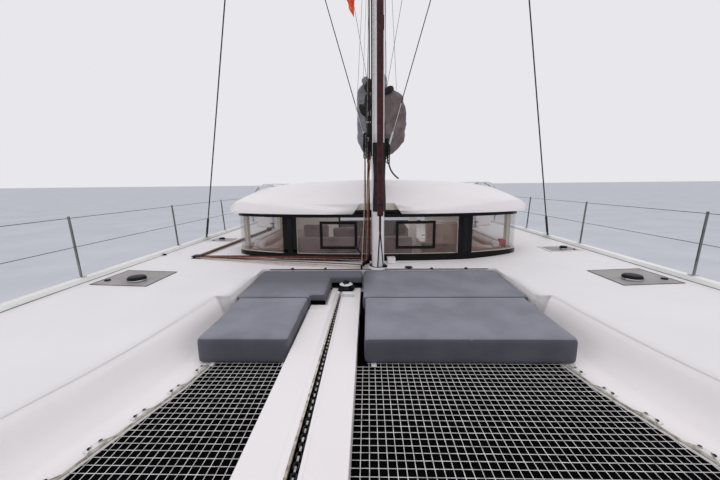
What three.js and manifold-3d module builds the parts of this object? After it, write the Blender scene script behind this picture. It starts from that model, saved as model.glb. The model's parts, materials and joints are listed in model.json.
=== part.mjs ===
// A sailing catamaran of 12 m, afloat: millimetres, +X to port, +Y aft, +Z up, waterline at z = 0.
import * as THREE from "three";
import { mergeVertices } from "three/addons/utils/BufferGeometryUtils.js";
import Module from "manifold-3d";

const wasm = await Module();
wasm.setup();

// Driving dimensions
const LENGTH = 11980;
const BOW_Y = -LENGTH / 2;
const STERN_Y = LENGTH / 2;
const DRAFT = 1350;
const HULL_X = 2600; // centre plane of each hull
const INNER_X = 1400; // inner face of a hull, where the bridge deck meets it
const DECK_Z = 1485; // deck at INNER_X
const GUNWALE_Z = 1555; // deck at the foot of the toe rail
const NET_Z = 1200; // top of the trampolines
const RECESS_Z = 1280; // floor of the lounging recess before the mast
const SOLE_Z = 760; // saloon and cockpit floor
const TUNNEL_Z = 680; // underside of the bridge deck
const NACELLE_Y = -1630; // front face of the bridge deck
const RECESS_AFT_Y = -500;
const BEAM_Y = -5380; // forward crossbeam
const MAST_Y = -390;
const MAST_HALF = { x: 86, y: 135 };
const MAST_TOP_Z = 18800;
const HOUNDS_Z = 16000;
const GAP = 0.3; // left between pieces that touch
const CLEAR = 6; // left round pieces that move
const ROOF_Z = 2205; // underside of the roof's rim

// Materials, as the finished surfaces look
const finish = (color, roughness, metalness = 0) =>
  new THREE.MeshStandardMaterial({ color, roughness, metalness });
const GELCOAT = finish(0xe4e2e1, 0.35);
const ANTIFOUL = finish(0x30343c, 0.8);
const ALUMINIUM = finish(0xb9bcc0, 0.35, 0.9);
const STAINLESS = finish(0xc9cbce, 0.2, 1);
const BRONZE = finish(0xa5824f, 0.35, 1);
const BLACK_PLASTIC = finish(0x161718, 0.5);
const GREY_CLOTH = finish(0x5f6168, 0.9);
const BAG_CLOTH = finish(0x5a5757, 0.95);
const RED_CLOTH = finish(0x4a1016, 0.85);
const SAILCLOTH = finish(0xe8e6df, 0.8);
const GLASS = finish(0x50565a, 0.08);
const NET = finish(0x3c3e42, 0.9);
const WOOD = finish(0x7d5a3c, 0.6);
const UPHOLSTERY = finish(0x9b948c, 0.85);

const catamaran = new THREE.Group();

function part(name, geometry, material) {
  const mesh = new THREE.Mesh(geometry, material);
  mesh.name = name;
  catamaran.add(mesh);
  return mesh;
}

// Closed geometries with their faces turned out, and their joins and cuts
function bare(geometry) {
  const plain = geometry.clone();
  if (!plain.getAttribute("normal")) return plain; // its vertices are shared already
  plain.deleteAttribute("normal");
  plain.deleteAttribute("uv");
  return mergeVertices(plain, 1e-3);
}

function outward(geometry) {
  const p = geometry.getAttribute("position");
  const index = geometry.index.array;
  const [a, b, c] = [new THREE.Vector3(), new THREE.Vector3(), new THREE.Vector3()];
  let volume = 0;
  for (let i = 0; i < index.length; i += 3) {
    a.fromBufferAttribute(p, index[i]);
    b.fromBufferAttribute(p, index[i + 1]);
    c.fromBufferAttribute(p, index[i + 2]);
    volume += a.dot(b.cross(c));
  }
  if (volume < 0)
    for (let i = 0; i < index.length; i += 3)
      [index[i + 1], index[i + 2]] = [index[i + 2], index[i + 1]];
  return geometry;
}

function solid(geometry) {
  const g = outward(bare(geometry));
  return new wasm.Manifold(
    new wasm.Mesh({
      numProp: 3,
      vertProperties: g.getAttribute("position").array,
      triVerts: new Uint32Array(g.index.array),
    }),
  );
}

function geometryOf(manifold) {
  const { numProp, vertProperties, triVerts } = manifold.getMesh();
  const geometry = new THREE.BufferGeometry();
  const xyz = new Float32Array((vertProperties.length / numProp) * 3);
  for (let i = 0; i < xyz.length / 3; i++)
    for (let k = 0; k < 3; k++) xyz[3 * i + k] = vertProperties[numProp * i + k];
  geometry.setAttribute("position", new THREE.BufferAttribute(xyz, 3));
  geometry.setIndex([...triVerts]);
  return geometry;
}

const joined = (...geometries) =>
  geometryOf(geometries.map(solid).reduce((sum, next) => sum.add(next)));

function cut(geometry, ...cutters) {
  return geometryOf(cutters.map(solid).reduce((rest, tool) => rest.subtract(tool), solid(geometry)));
}

// Trimmed where a neighbour lies, with the usual gap on every side of it
const clearOf = (geometry, neighbour) =>
  cut(geometry, ...[[GAP, 0, 0], [-GAP, 0, 0], [0, GAP, 0], [0, -GAP, 0], [0, 0, GAP], [0, 0, -GAP]]
    .map((step) => moved(neighbour, ...step)));

const common = (a, b) => geometryOf(solid(a).intersect(solid(b)));
const moved = (geometry, x, y, z) => geometry.clone().translate(x, y, z);
const mirrored = (geometry) => outward(bare(geometry).scale(-1, 1, 1));
const onSide = (side, geometry) => (side > 0 ? geometry : mirrored(geometry));

// A box between two corners
function box([x0, x1], [y0, y1], [z0, z1]) {
  const block = new THREE.BoxGeometry(x1 - x0, y1 - y0, z1 - z0);
  return block.translate((x0 + x1) / 2, (y0 + y1) / 2, (z0 + z1) / 2);
}

// A plan outline of [x, y] points raised from z0 to z1
function plate(outline, z0, z1) {
  const shape = new THREE.Shape(outline.map(([x, y]) => new THREE.Vector2(x, y)));
  const raised = new THREE.ExtrudeGeometry(shape, { depth: z1 - z0, bevelEnabled: false });
  return raised.translate(0, 0, z0);
}

// A side outline of [y, z] points drawn out from x0 to x1
function profile(outline, x0, x1) {
  const turned = plate(outline, 0, x1 - x0);
  const yzx = new THREE.Matrix4().set(0, 0, 1, x0, 1, 0, 0, 0, 0, 1, 0, 0, 0, 0, 0, 1);
  return turned.applyMatrix4(yzx);
}

// A round bar between two points
function bar(from, to, radius, sides = 8, endRadius = radius) {
  const a = new THREE.Vector3(...from);
  const b = new THREE.Vector3(...to);
  const rod = new THREE.CylinderGeometry(endRadius, radius, a.distanceTo(b), sides);
  const turn = new THREE.Quaternion().setFromUnitVectors(
    new THREE.Vector3(0, 1, 0),
    b.clone().sub(a).normalize(),
  );
  return rod.applyQuaternion(turn).translate(...a.add(b).multiplyScalar(0.5).toArray());
}

// Bars joined end to end through a list of points, each run past its bends
const bent = (points, radius, sides) =>
  joined(...points.slice(1).map((to, i) => {
    const from = points[i];
    const reach = Math.hypot(...to.map((v, k) => v - from[k]));
    const past = to.map((v, k) => v + ((v - from[k]) / reach) * radius * 0.5);
    return bar(from, past, radius, sides);
  }));

// A closed skin over rings of points, with flat ends; flat names the two axes the ends lie in
function loft(rings, flat = [0, 2]) {
  const count = rings[0].length;
  const geometry = new THREE.BufferGeometry();
  geometry.setAttribute("position", new THREE.Float32BufferAttribute(rings.flat(2), 3));
  const index = [];
  for (let r = 0; r + 1 < rings.length; r++)
    for (let k = 0; k < count; k++) {
      const [a, b] = [r * count + k, r * count + ((k + 1) % count)];
      index.push(a, b, b + count, a, b + count, a + count);
    }
  const cap = (ring) => {
    const flatRing = ring.map((p) => new THREE.Vector2(p[flat[0]], p[flat[1]]));
    const faces = THREE.ShapeUtils.triangulateShape(flatRing, []);
    const turns = (points) => Math.sign(THREE.ShapeUtils.area(points));
    return turns(faces[0].map((i) => flatRing[i])) === turns(flatRing)
      ? faces : faces.map(([a, b, c]) => [a, c, b]);
  };
  const last = (rings.length - 1) * count;
  for (const [a, b, c] of cap(rings[0])) index.push(a, c, b);
  for (const [a, b, c] of cap(rings.at(-1))) index.push(last + a, last + b, last + c);
  geometry.setIndex(index);
  return outward(geometry);
}

// A value of a table's column at a place between its rows, on a smooth curve
function between(table, column, at) {
  const keys = table.map((row) => row[0]);
  let i = keys.findLastIndex((key) => key <= at);
  i = Math.min(Math.max(i, 0), keys.length - 2);
  const t = (at - keys[i]) / (keys[i + 1] - keys[i]);
  const v = (n) => table[Math.min(Math.max(n, 0), table.length - 1)][column];
  const slope = (n) => {
    if (n <= 0 || n >= table.length - 1) return 0;
    const [left, right] = [v(n) - v(n - 1), v(n + 1) - v(n)];
    if (left * right <= 0) return 0;
    const [h0, h1] = [keys[n] - keys[n - 1], keys[n + 1] - keys[n]];
    return (2 * left * right) / (left * h1 + right * h0);
  };
  const span = keys[i + 1] - keys[i];
  const [a, b, ma, mb] = [v(i), v(i + 1), slope(i) * span, slope(i + 1) * span];
  const [t2, t3] = [t * t, t * t * t];
  return a * (2 * t3 - 3 * t2 + 1) + ma * (t3 - 2 * t2 + t) + b * (3 * t2 - 2 * t3) + mb * (t3 - t2);
}

// Hulls: one solid each, lofted from a table of stations
// Columns: y, keel z, half breadth at the waterline, gunwale x, net ledge x, foot z of the inner face, rail z
const STATIONS = [
  [BOW_Y, -150, 14, 2680, 2535, 1180, 1665],
  [-5760, -330, 80, 2830, 2400, 1150, 1660],
  [-5350, -440, 170, 3000, 2110, 1120, 1650],
  [-4500, -570, 320, 3230, 1900, 1100, 1638],
  [-3450, -650, 450, 3395, 1670, 1060, 1626],
  [-2420, -690, 540, 3465, 1415, 900, 1620],
  [NACELLE_Y, -700, 580, 3485, INNER_X, TUNNEL_Z, 1620],
  [0, -690, 610, 3490, INNER_X, TUNNEL_Z, 1620],
  [2500, -590, 600, 3490, INNER_X, TUNNEL_Z, 1620],
  [4300, -400, 565, 3450, INNER_X, TUNNEL_Z, 1612],
  [4950, -300, 545, 3410, INNER_X, TUNNEL_Z, 1606],
  [5250, -250, 535, 3385, 1930, 820, 1600],
  [STERN_Y, -110, 505, 3300, 2020, 820, 1590],
];
const [KEEL, WATER, GUNWALE, LEDGE, FACE, RAIL] = [1, 2, 3, 4, 5, 6];
const RAIL_WIDTH = 75;
const at = (column, y) => between(STATIONS, column, y);
const HULL_YS = [
  BOW_Y, -5900, -5760, -5560, BEAM_Y, -5100, -4800, -4500, -4150, -3800, -3450, -3100, -2760, -2420,
  -2020, NACELLE_Y, -900, 0, 900, 1700, 2500, 3400, 4300, 4950, 5250, 5620, STERN_Y,
];
const BILGE_STEPS = 12;

function hullRing(y) {
  const [keel, water, gunwale, ledge, face, rail] = [KEEL, WATER, GUNWALE, LEDGE, FACE, RAIL]
    .map((column) => at(column, y));
  const ring = [];
  for (let k = 0; k <= BILGE_STEPS; k++) {
    const turn = (Math.PI * k) / BILGE_STEPS;
    ring.push([HULL_X - water * Math.cos(turn), y, keel * Math.sin(turn) ** 0.8]);
  }
  const flare = gunwale - (HULL_X + water);
  const inFlare = HULL_X - water - ledge;
  ring.push(
    [HULL_X + water + 0.3 * flare, y, 330],
    [HULL_X + water + 0.72 * flare, y, 640],
    [gunwale - 0.06 * flare, y, 1050],
    [gunwale, y, rail - 15],
    [gunwale - 15, y, rail],
    [gunwale - RAIL_WIDTH + 12, y, rail],
    [gunwale - RAIL_WIDTH, y, rail - 12],
    [gunwale - RAIL_WIDTH, y, GUNWALE_Z],
    [ledge, y, DECK_Z],
    [ledge, y, face],
    [ledge + 0.25 * inFlare, y, face - 0.12 * face],
    [ledge + 0.8 * inFlare, y, 0.45 * face],
  );
  return ring;
}

// The soft slope from the deck's inner crease down to the ledge that the net is laced to
// Columns: y, outer edge of the ledge, crease
const SLOPE = [
  [BOW_Y - 100, 2560, 2600],
  [-5350, 2160, 2330],
  [-4500, 1985, 2160],
  [-3450, 1790, 1995],
  [-3000, 1690, 1885],
  [-2420, 1590, 1805],
  [NACELLE_Y, 1570, 1750],
];
const SLOPE_BEND = [[0, 0], [0.3, 0.07], [0.62, 0.4], [0.88, 0.86], [1, 1]]; // shares of width and height
const netSlope = loft(
  [BOW_Y - 100, ...HULL_YS.filter((y) => y > BEAM_Y - 1 && y <= NACELLE_Y)].map((y) => {
    const inner = at(LEDGE, Math.max(y, BOW_Y)) - 500;
    const [foot, crease] = [between(SLOPE, 1, y), between(SLOPE, 2, y)];
    const bend = SLOPE_BEND.map(([u, v]) => [foot + u * (crease - foot), y, NET_Z + v * (DECK_Z + 8 - NET_Z)]);
    return [[inner, y, NET_Z], ...bend, [crease, y, 1900], [inner, y, 1900]];
  }));

// Stern steps: a sloping side, then treads down to the bathing platform
const SCOOP_Y = 4960;
const PLATFORM_Z = 330;
const scoop = profile(
  [[SCOOP_Y, 1800], [SCOOP_Y, 1540], [STERN_Y + 50, 620], [STERN_Y + 50, 1800]], 1500, 3700);
const TREADS = [[SCOOP_Y + 40, 1240], [5200, 1010], [5400, 780], [5600, 550], [5760, PLATFORM_Z]];
const STEP_X = [2130, 3230];
const treads = TREADS.map(([y, z]) => box(STEP_X, [y, STERN_Y + 50], [z, 1800]));

// Deck hatches: each lid lies in a rebate of its own, tilted with the deck
const DECK_SLOPE = Math.atan((GUNWALE_Z - DECK_Z) / (at(GUNWALE, 0) - RAIL_WIDTH - INNER_X));
const deckZ = (x) => DECK_Z + (x - INNER_X) * Math.tan(DECK_SLOPE);
// Columns: name, inner x, outer x, length, forward y on each side
const HATCHES = [
  ["fore_hatch", 2650, 3300, 620, { port: -1400, starboard: -1400 }],
  ["side_hatch", 2810, 3350, 460, { port: 340, starboard: 1420 }],
];
const LID_THICK = 26;
const LID_PROUD = 5;
const onDeck = (geometry, x) => geometry.rotateY(-DECK_SLOPE).translate(x, 0, deckZ(x));
const hatchLid = (width, y0, y1) =>
  plate([[0, 0], [width, 0], [width, -LID_THICK], [LID_THICK, -LID_THICK]], 0, y1 - y0)
    .rotateX(Math.PI / 2).translate(0, y1, LID_PROUD);
const rebates = (word) => HATCHES.map(([, x0, x1, length, { [word]: y0 }]) => onDeck(
  box([-CLEAR, x1 - x0 + CLEAR], [y0 - CLEAR, y0 + length + CLEAR], [LID_PROUD - LID_THICK - GAP, 90]), x0));

// Openings in the hull's bottom and side for what it carries
const RUDDER_Y = 5080;
const STOCK_R = 38;
const STOCK_TOP_Z = 60;
const stockBore = bar([HULL_X, RUDDER_Y, -600], [HULL_X, RUDDER_Y, STOCK_TOP_Z], STOCK_R + CLEAR, 16);

const recess = box([0, 1600], [NACELLE_Y, RECESS_AFT_Y], [RECESS_Z, 1900]);
const hullShell = cut(loft(HULL_YS.map(hullRing)), netSlope, scoop, ...treads, recess, stockBore);
const hullPort = cut(hullShell, ...rebates("port"));
part("hull_port", hullPort, GELCOAT);
part("hull_starboard", mirrored(cut(hullShell, ...rebates("starboard"))), GELCOAT);

// Fixed keels: a foil lofted upwards, its head trimmed to the hull's bottom
function foilRing(x, y, chord, thick, z, steps = 7) {
  const ring = [];
  const half = (t) => thick * (1.48 * Math.sqrt(t) - 0.63 * t - 1.76 * t ** 2 + 1.42 * t ** 3 - 0.5 * t ** 4);
  for (let k = 0; k <= steps; k++) {
    const t = (k / steps) ** 2 * 0.985;
    ring.push([x + half(t), y + chord * t, z]);
  }
  for (let k = steps; k > 0; k--) {
    const t = (k / steps) ** 2 * 0.985;
    ring.push([x - half(t), y + chord * t, z]);
  }
  return ring;
}
const KEEL_Y = -850;
const keelBlank = loft([
  foilRing(HULL_X, KEEL_Y, 2500, 190, -400),
  foilRing(HULL_X, KEEL_Y + 160, 2150, 150, -DRAFT + 60),
  foilRing(HULL_X, KEEL_Y + 200, 2080, 120, -DRAFT),
], [0, 1]);
const keelPort = cut(keelBlank, moved(hullPort, 0, 0, -GAP));
part("keel_port", keelPort, ANTIFOUL);
part("keel_starboard", mirrored(keelPort), ANTIFOUL);

// Bridge deck: nacelle, recess floor, mast deck, sunken sole and the beam across the stern
const STERN_BEAM_Y = [4560, 4950];
const FRONT_WALL_Y = 150;
const STRIP_X = [-775, -231]; // the longeron and its raised strip in the recess
const STRIP_Z = 1330;
const STRIP_AFT_Y = -860;
const STRIP_STEP = { x: -598, y: -1450 }; // aft of this y the strip is narrower
const CHAIN_X = -490;
const CHAIN_SLOT = [CHAIN_X - 38, CHAIN_X + 38];
const CHAIN_SLOT_Z = 1272;
const deckHalf = INNER_X - GAP;
const bridgeBlock = profile([
  [NACELLE_Y, RECESS_Z], [NACELLE_Y, 960], [-1380, 760], [-1000, TUNNEL_Z], [4800, TUNNEL_Z],
  [4950, 760], [4950, DECK_Z], [STERN_BEAM_Y[0], DECK_Z], [STERN_BEAM_Y[0], SOLE_Z],
  [FRONT_WALL_Y, SOLE_Z], [FRONT_WALL_Y, DECK_Z], [RECESS_AFT_Y, DECK_Z], [RECESS_AFT_Y, RECESS_Z],
], -deckHalf, deckHalf);
const strip = joined(
  box(STRIP_X, [NACELLE_Y, STRIP_STEP.y], [RECESS_Z - 20, STRIP_Z]),
  box([STRIP_STEP.x, STRIP_X[1]], [STRIP_STEP.y - 10, STRIP_AFT_Y], [RECESS_Z - 20, STRIP_Z]));
const bridgeSlot = box(CHAIN_SLOT, [NACELLE_Y - 50, -1060], [CHAIN_SLOT_Z, STRIP_Z + 20]);
const bridgeDeck = cut(joined(bridgeBlock, strip), bridgeSlot);
part("bridge_deck", bridgeDeck, GELCOAT);

// Forward crossbeam with its striker over it, and the longeron from it to the nacelle
const BEAM_Z = 1180;
const BEAM_R = 88;
const BEAM_TOP_Z = BEAM_Z + BEAM_R;
const hullInside = moved(hullPort, -GAP, 0, 0);
const hullInsideStarboard = mirrored(hullInside);
const STRIKER_Z = 1560;
const strikerLeg = (side) =>
  bar([0, BEAM_Y, STRIKER_Z - 20], [side * 2040, BEAM_Y, BEAM_TOP_Z - 20], 14, 6);
const crossbeam = cut(
  joined(
    bar([-2250, BEAM_Y, BEAM_Z], [2250, BEAM_Y, BEAM_Z], BEAM_R, 20),
    bar([0, BEAM_Y, BEAM_Z], [0, BEAM_Y, STRIKER_Z], 26, 10),
    strikerLeg(1), strikerLeg(-1),
  ), hullInside, hullInsideStarboard);
part("crossbeam", crossbeam, ALUMINIUM);

const LONGERON_BOTTOM_Z = 1130;
const longeron = cut(
  box(STRIP_X, [BEAM_Y + BEAM_R + GAP, NACELLE_Y - GAP], [LONGERON_BOTTOM_Z, STRIP_Z]),
  box(CHAIN_SLOT, [BEAM_Y, NACELLE_Y + 50], [CHAIN_SLOT_Z, STRIP_Z + 20]));
part("longeron", longeron, GELCOAT);

// Ground tackle: anchor on its roller, chain in the longeron's slot, windlass at its aft end
// The chain is a row of links, lying flat and standing on edge in turn
const LINK = { pitch: 34, long: 46, wide: 30, wire: 10, count: 119, startY: -5150 };
const CHAIN_MID_Z = CHAIN_SLOT_Z + GAP + LINK.wide / 2;
const links = Array.from({ length: LINK.count }, (_, k) => {
  const y = LINK.startY + k * LINK.pitch;
  const [halfX, halfZ] = k % 2 ? [LINK.wire / 2, LINK.wide / 2] : [LINK.wide / 2, LINK.wire / 2];
  return box([CHAIN_X - halfX, CHAIN_X + halfX], [y, y + LINK.long], [CHAIN_MID_Z - halfZ, CHAIN_MID_Z + halfZ]);
});
part("anchor_chain", joined(...links), STAINLESS);
const ROLLER_Y = BEAM_Y - 120;
const roller = joined(
  box([CHAIN_X - 62, CHAIN_X - 48], [BEAM_Y - 210, BEAM_Y + BEAM_R + 200], [STRIP_Z + GAP, STRIP_Z + 95]),
  box([CHAIN_X + 48, CHAIN_X + 62], [BEAM_Y - 210, BEAM_Y + BEAM_R + 200], [STRIP_Z + GAP, STRIP_Z + 95]),
  bar([CHAIN_X - 55, ROLLER_Y, STRIP_Z + 40], [CHAIN_X + 55, ROLLER_Y, STRIP_Z + 40], 34, 12),
  box([CHAIN_X - 62, CHAIN_X + 62], [BEAM_Y + BEAM_R + 100, BEAM_Y + BEAM_R + 112], [STRIP_Z + 60, STRIP_Z + 95]),
);
part("bow_roller", roller, STAINLESS);
const SHANK_Z = STRIP_Z + 40 + 34 + GAP + 14;
const anchor = joined(
  profile([[-5230, SHANK_Z - 14], [-5230, SHANK_Z + 14], [-5760, SHANK_Z + 14], [-5900, SHANK_Z - 200],
    [-5850, SHANK_Z - 215], [-5730, SHANK_Z - 30], [-5650, SHANK_Z - 14]], CHAIN_X - 12, CHAIN_X + 12),
  loft([
    [[CHAIN_X, -5990, SHANK_Z - 215], [CHAIN_X + 6, -5980, SHANK_Z - 222], [CHAIN_X - 6, -5980, SHANK_Z - 222]],
    [[CHAIN_X, -5840, SHANK_Z - 195], [CHAIN_X + 130, -5720, SHANK_Z - 250], [CHAIN_X - 130, -5720, SHANK_Z - 250]],
    [[CHAIN_X, -5680, SHANK_Z - 240], [CHAIN_X + 170, -5600, SHANK_Z - 290], [CHAIN_X - 170, -5600, SHANK_Z - 290]],
  ]));
part("anchor", anchor, STAINLESS);
const WINDLASS = { x: -420, y: -905 };
const drum = (z0, z1, radius, topRadius) =>
  bar([WINDLASS.x, WINDLASS.y, STRIP_Z + z0], [WINDLASS.x, WINDLASS.y, STRIP_Z + z1], radius, 20, topRadius);
const windlass = joined(
  box([WINDLASS.x - 95, WINDLASS.x + 95], [WINDLASS.y - 80, WINDLASS.y + 40], [STRIP_Z + GAP, STRIP_Z + 16]),
  drum(12, 30, 84, 62), drum(28, 52, 56, 56), drum(50, 66, 62, 84), drum(64, 76, 84, 70));
part("windlass", windlass, STAINLESS);

// Trampolines, each one thin panel between longeron and hull
const NET_THICK = 12;
const netYs = [BEAM_Y + BEAM_R + 1, ...HULL_YS.filter((y) => y > BEAM_Y + BEAM_R + 5 && y < NACELLE_Y), NACELLE_Y - GAP];
const netEdge = netYs.map((y) => {
  const i = HULL_YS.findLastIndex((station) => station <= y);
  const [y0, y1] = [HULL_YS[i], HULL_YS[i + 1]];
  const t = (y - y0) / (y1 - y0);
  return [at(LEDGE, y0) * (1 - t) + at(LEDGE, y1) * t - GAP, y];
});
function netPanel(side, inner) {
  const outer = netEdge.map(([x, y]) => [side * x, y]);
  return plate([...outer, [inner, netYs.at(-1)], [inner, netYs[0]]], NET_Z - NET_THICK, NET_Z);
}
part("trampoline_port", netPanel(1, STRIP_X[1] + GAP), NET);
part("trampoline_starboard", netPanel(-1, STRIP_X[0] - GAP), NET);

// Sun cushions: two on the nets, two in the recess, one of them cut round the windlass
const CUSHION_R = 14;
const CUSHION_SEAM_Y = -1510;
const CUSHION_FORE = { y: [-2460, CUSHION_SEAM_Y - 3], z: NET_Z + GAP, foreTop: 1430, aftTop: 1444 };
const CUSHION_AFT = { y: [CUSHION_SEAM_Y + 3, -506], z: RECESS_Z + GAP, foreTop: 1446, aftTop: 1476 };
function cushion([x0, x1], { y: [y0, y1], z, foreTop, aftTop }) {
  const r = CUSHION_R;
  const outline = (inset) => [
    [x0 + inset, y0 + inset + r], [x0 + inset + r, y0 + inset],
    [x1 - inset - r, y0 + inset], [x1 - inset, y0 + inset + r],
    [x1 - inset, y1 - inset - r], [x1 - inset - r, y1 - inset],
    [x0 + inset + r, y1 - inset], [x0 + inset, y1 - inset - r]];
  const low = (inset, rise) => outline(inset).map(([x, y]) => [x, y, z + rise]);
  const topZ = (y) => foreTop + ((y - y0) / (y1 - y0)) * (aftTop - foreTop);
  const high = (inset, drop) => outline(inset).map(([x, y]) => [x, y, topZ(y) - drop]);
  return loft([low(9, 0), low(0, 14), high(0, 16), high(12, 0)], [0, 1]);
}
// The fore cushions reach over the edge of the recess, so their undersides are stepped up there
const recessEdge = box([-1700, 1700], [NACELLE_Y - 4, 0], [1100, RECESS_Z + GAP]);
// The starboard aft cushion leaves the strip and the windlass free
const stripCut = joined(
  box([STRIP_X[0] - 8, STRIP_X[1] + 60], [NACELLE_Y - 50, STRIP_STEP.y + 15], [1100, 1900]),
  box([STRIP_STEP.x - 15, STRIP_X[1] + 60], [STRIP_STEP.y, STRIP_AFT_Y + 55], [1100, 1900]));
part("cushion_port_fore", cut(cushion([-180, 1540], CUSHION_FORE), recessEdge), GREY_CLOTH);
part("cushion_starboard_fore", cut(cushion([-1552, -783], CUSHION_FORE), recessEdge), GREY_CLOTH);
part("cushion_port_aft", cushion([-205, 1588], CUSHION_AFT), GREY_CLOTH);
part("cushion_starboard_aft", cut(cushion([-1592, -212], CUSHION_AFT), stripCut), GREY_CLOTH);

// Roof: a crowned shell on the cabin walls, carried aft over the cockpit
// Columns: y, edge z, shoulder z, quarter z, crown z
const ROOF_ROWS = [
  [-110, 2232, 2238, 2246, 2252],
  [100, 2236, 2320, 2350, 2362],
  [400, 2240, 2450, 2500, 2525],
  [1000, 2245, 2565, 2640, 2675],
  [1700, 2245, 2600, 2690, 2730],
  [3600, 2245, 2595, 2680, 2725],
  [4980, 2230, 2470, 2550, 2590],
];
const ROOF_HALF = 2450;
const ROOF_YS = [-110, -10, 100, 250, 400, 700, 1000, 1350, 1700, 2600, 3600, 4300, 4980];
const roofRing = (y, drop, narrow, floor) => {
  const [edge, shoulder, quarter, crown] = [1, 2, 3, 4].map((column) => between(ROOF_ROWS, column, y) - drop);
  const rise = shoulder - edge;
  const half = [
    [ROOF_HALF - narrow, floor], [ROOF_HALF - narrow, edge], [2405 - narrow, edge + 0.27 * rise],
    [2270 - 0.9 * narrow, edge + 0.69 * rise], [2050 - 0.8 * narrow, shoulder],
    [1700 - 0.5 * narrow, (shoulder + 2 * quarter) / 3 - 2], [1300 - 0.3 * narrow, quarter],
    [600, (quarter + 2 * crown) / 3 - 4],
  ];
  return [...half.map(([x, z]) => [x, y, z]), [0, y, crown], ...half.toReversed().map(([x, z]) => [-x, y, z])];
};
const roofPlan = [
  [0, -95], [760, -75], [1300, 5], [1800, 125], [2200, 290], [2380, 400], [2450, 560],
  [2450, 4700], [2380, 4900], [2150, 4965], [0, 4965],
];
const mirroredPlan = (half) => [...half, ...half.slice(1, half.at(-1)[0] === 0 ? -1 : undefined).toReversed().map(([x, y]) => [-x, y])];
const roofOuter = common(
  loft(ROOF_YS.map((y) => roofRing(y, 0, 0, ROOF_Z - 100))),
  plate(mirroredPlan(roofPlan), ROOF_Z, 2900));
const VAULT_YS = [330, 500, 700, 1000, 1350, 1700, 2600, 3600, 4300, 4780];
const vault = loft(VAULT_YS.map((y) => roofRing(y, 60, 230, ROOF_Z - 60)));
// The notch round the mast goes right through at the front, and has a ledge over the cabin's wall
const notchBlock = (y, z0, halfLow, z1, halfHigh) => loft([-200, y].map((end) =>
  [[-halfLow, end, z0], [halfLow, end, z0], [halfHigh, end, z1], [-halfHigh, end, z1]]));
const mastNotch = joined(
  notchBlock(10, ROOF_Z - 10, 375, ROOF_Z + 60, 320), notchBlock(95, ROOF_Z + 57, 322, ROOF_Z + 200, 225));
const roof = cut(roofOuter, vault, mastNotch);
part("roof", roof, GELCOAT);

// Cabin: curved front, sides and aft bulkhead, with every window and the doorway cut
const WALL = 60;
const BULKHEAD_Y = [3240, 3300];
const SIDE_X = 2330;
const cabinPlan = [
  [0, -20], [730, 0], [1120, 42], [1480, 100], [1850, 215], [2140, 345], [2270, 450], [SIDE_X, 640],
  [SIDE_X, BULKHEAD_Y[1]],
];
// The same outline moved in by a distance
function inset(plan, by) {
  return plan.map(([x, y], i) => {
    const before = plan[Math.max(i - 1, 0)];
    const after = plan[Math.min(i + 1, plan.length - 1)];
    const run = new THREE.Vector2(after[0] - before[0], after[1] - before[1]).normalize();
    if (i === 0) return [0, y + by];
    if (i === plan.length - 1) return [x - by, y];
    return [x - run.y * by, y + run.x * by];
  });
}
const bandAt = (outer, inner, z0, z1, aft = 0) =>
  cut(
    plate(mirroredPlan([...inset(cabinPlan, outer), [0, BULKHEAD_Y[1] - outer]]), z0, z1),
    plate(mirroredPlan([...inset(cabinPlan, inner).map(([x, y], i) =>
      (i === cabinPlan.length - 1 ? [x, BULKHEAD_Y[0] + aft] : [x, y])), [0, BULKHEAD_Y[0] + aft]]), z0 - 1, z1 + 1));
const WINDOW_Z = [1590, 2150];
const PANE_GAP = 1;
// Columns: name, x range, y range of each pane on the port side
const PANES = [
  ["front_window", [70, 1235], [-200, 260]],
  ["corner_window", [1460, 2600], [-200, 800]],
  ["side_window", [2000, 2600], [920, 2950]],
];
const windowHole = (xs, ys, grow = 0) =>
  box([xs[0] - grow, xs[1] + grow], [ys[0] - grow, ys[1] + grow], [WINDOW_Z[0] - grow, WINDOW_Z[1] + grow]);
const DOORWAY = { x: [-880, -20], z: [SOLE_Z + 20, 2520] };
const AFT_WINDOW = { x: [120, 1280], z: [1300, 2350] };
const bulkheadHead = common(
  box([-2300, 2300], BULKHEAD_Y, [ROOF_Z - 40, 2800]), moved(vault, 0, 0, -GAP));
const doorTrack = box([-900, 1390], [BULKHEAD_Y[1] - 10, BULKHEAD_Y[1] + 60], [SOLE_Z + GAP, SOLE_Z + 12]);
const cabinWalls = joined(bandAt(0, WALL, SOLE_Z - 20, ROOF_Z - GAP), bulkheadHead, doorTrack);
const bothSides = (geometry) => [geometry, mirrored(geometry)];
const cabin = cut(cabinWalls,
  ...bothSides(moved(hullPort, 0, 0, GAP)),
  ...bothSides(moved(hullPort, -GAP, 0, 0)),
  moved(bridgeDeck, 0, 0, GAP),
  ...PANES.flatMap(([, xs, ys]) => bothSides(windowHole(xs, ys))),
  box(DOORWAY.x, [3100, 3299], DOORWAY.z),
  box(DOORWAY.x, [3200, 3500], [SOLE_Z + 14, DOORWAY.z[1]]),
  box(AFT_WINDOW.x, [3100, 3400], AFT_WINDOW.z));
part("cabin", cabin, BLACK_PLASTIC);

// Window panes, and the opening hatch let into each front pane
const GLASS_IN = 8;
const glassBand = bandAt(GLASS_IN, GLASS_IN + 14, WINDOW_Z[0] - 200, WINDOW_Z[1] + 200, 30);
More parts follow.
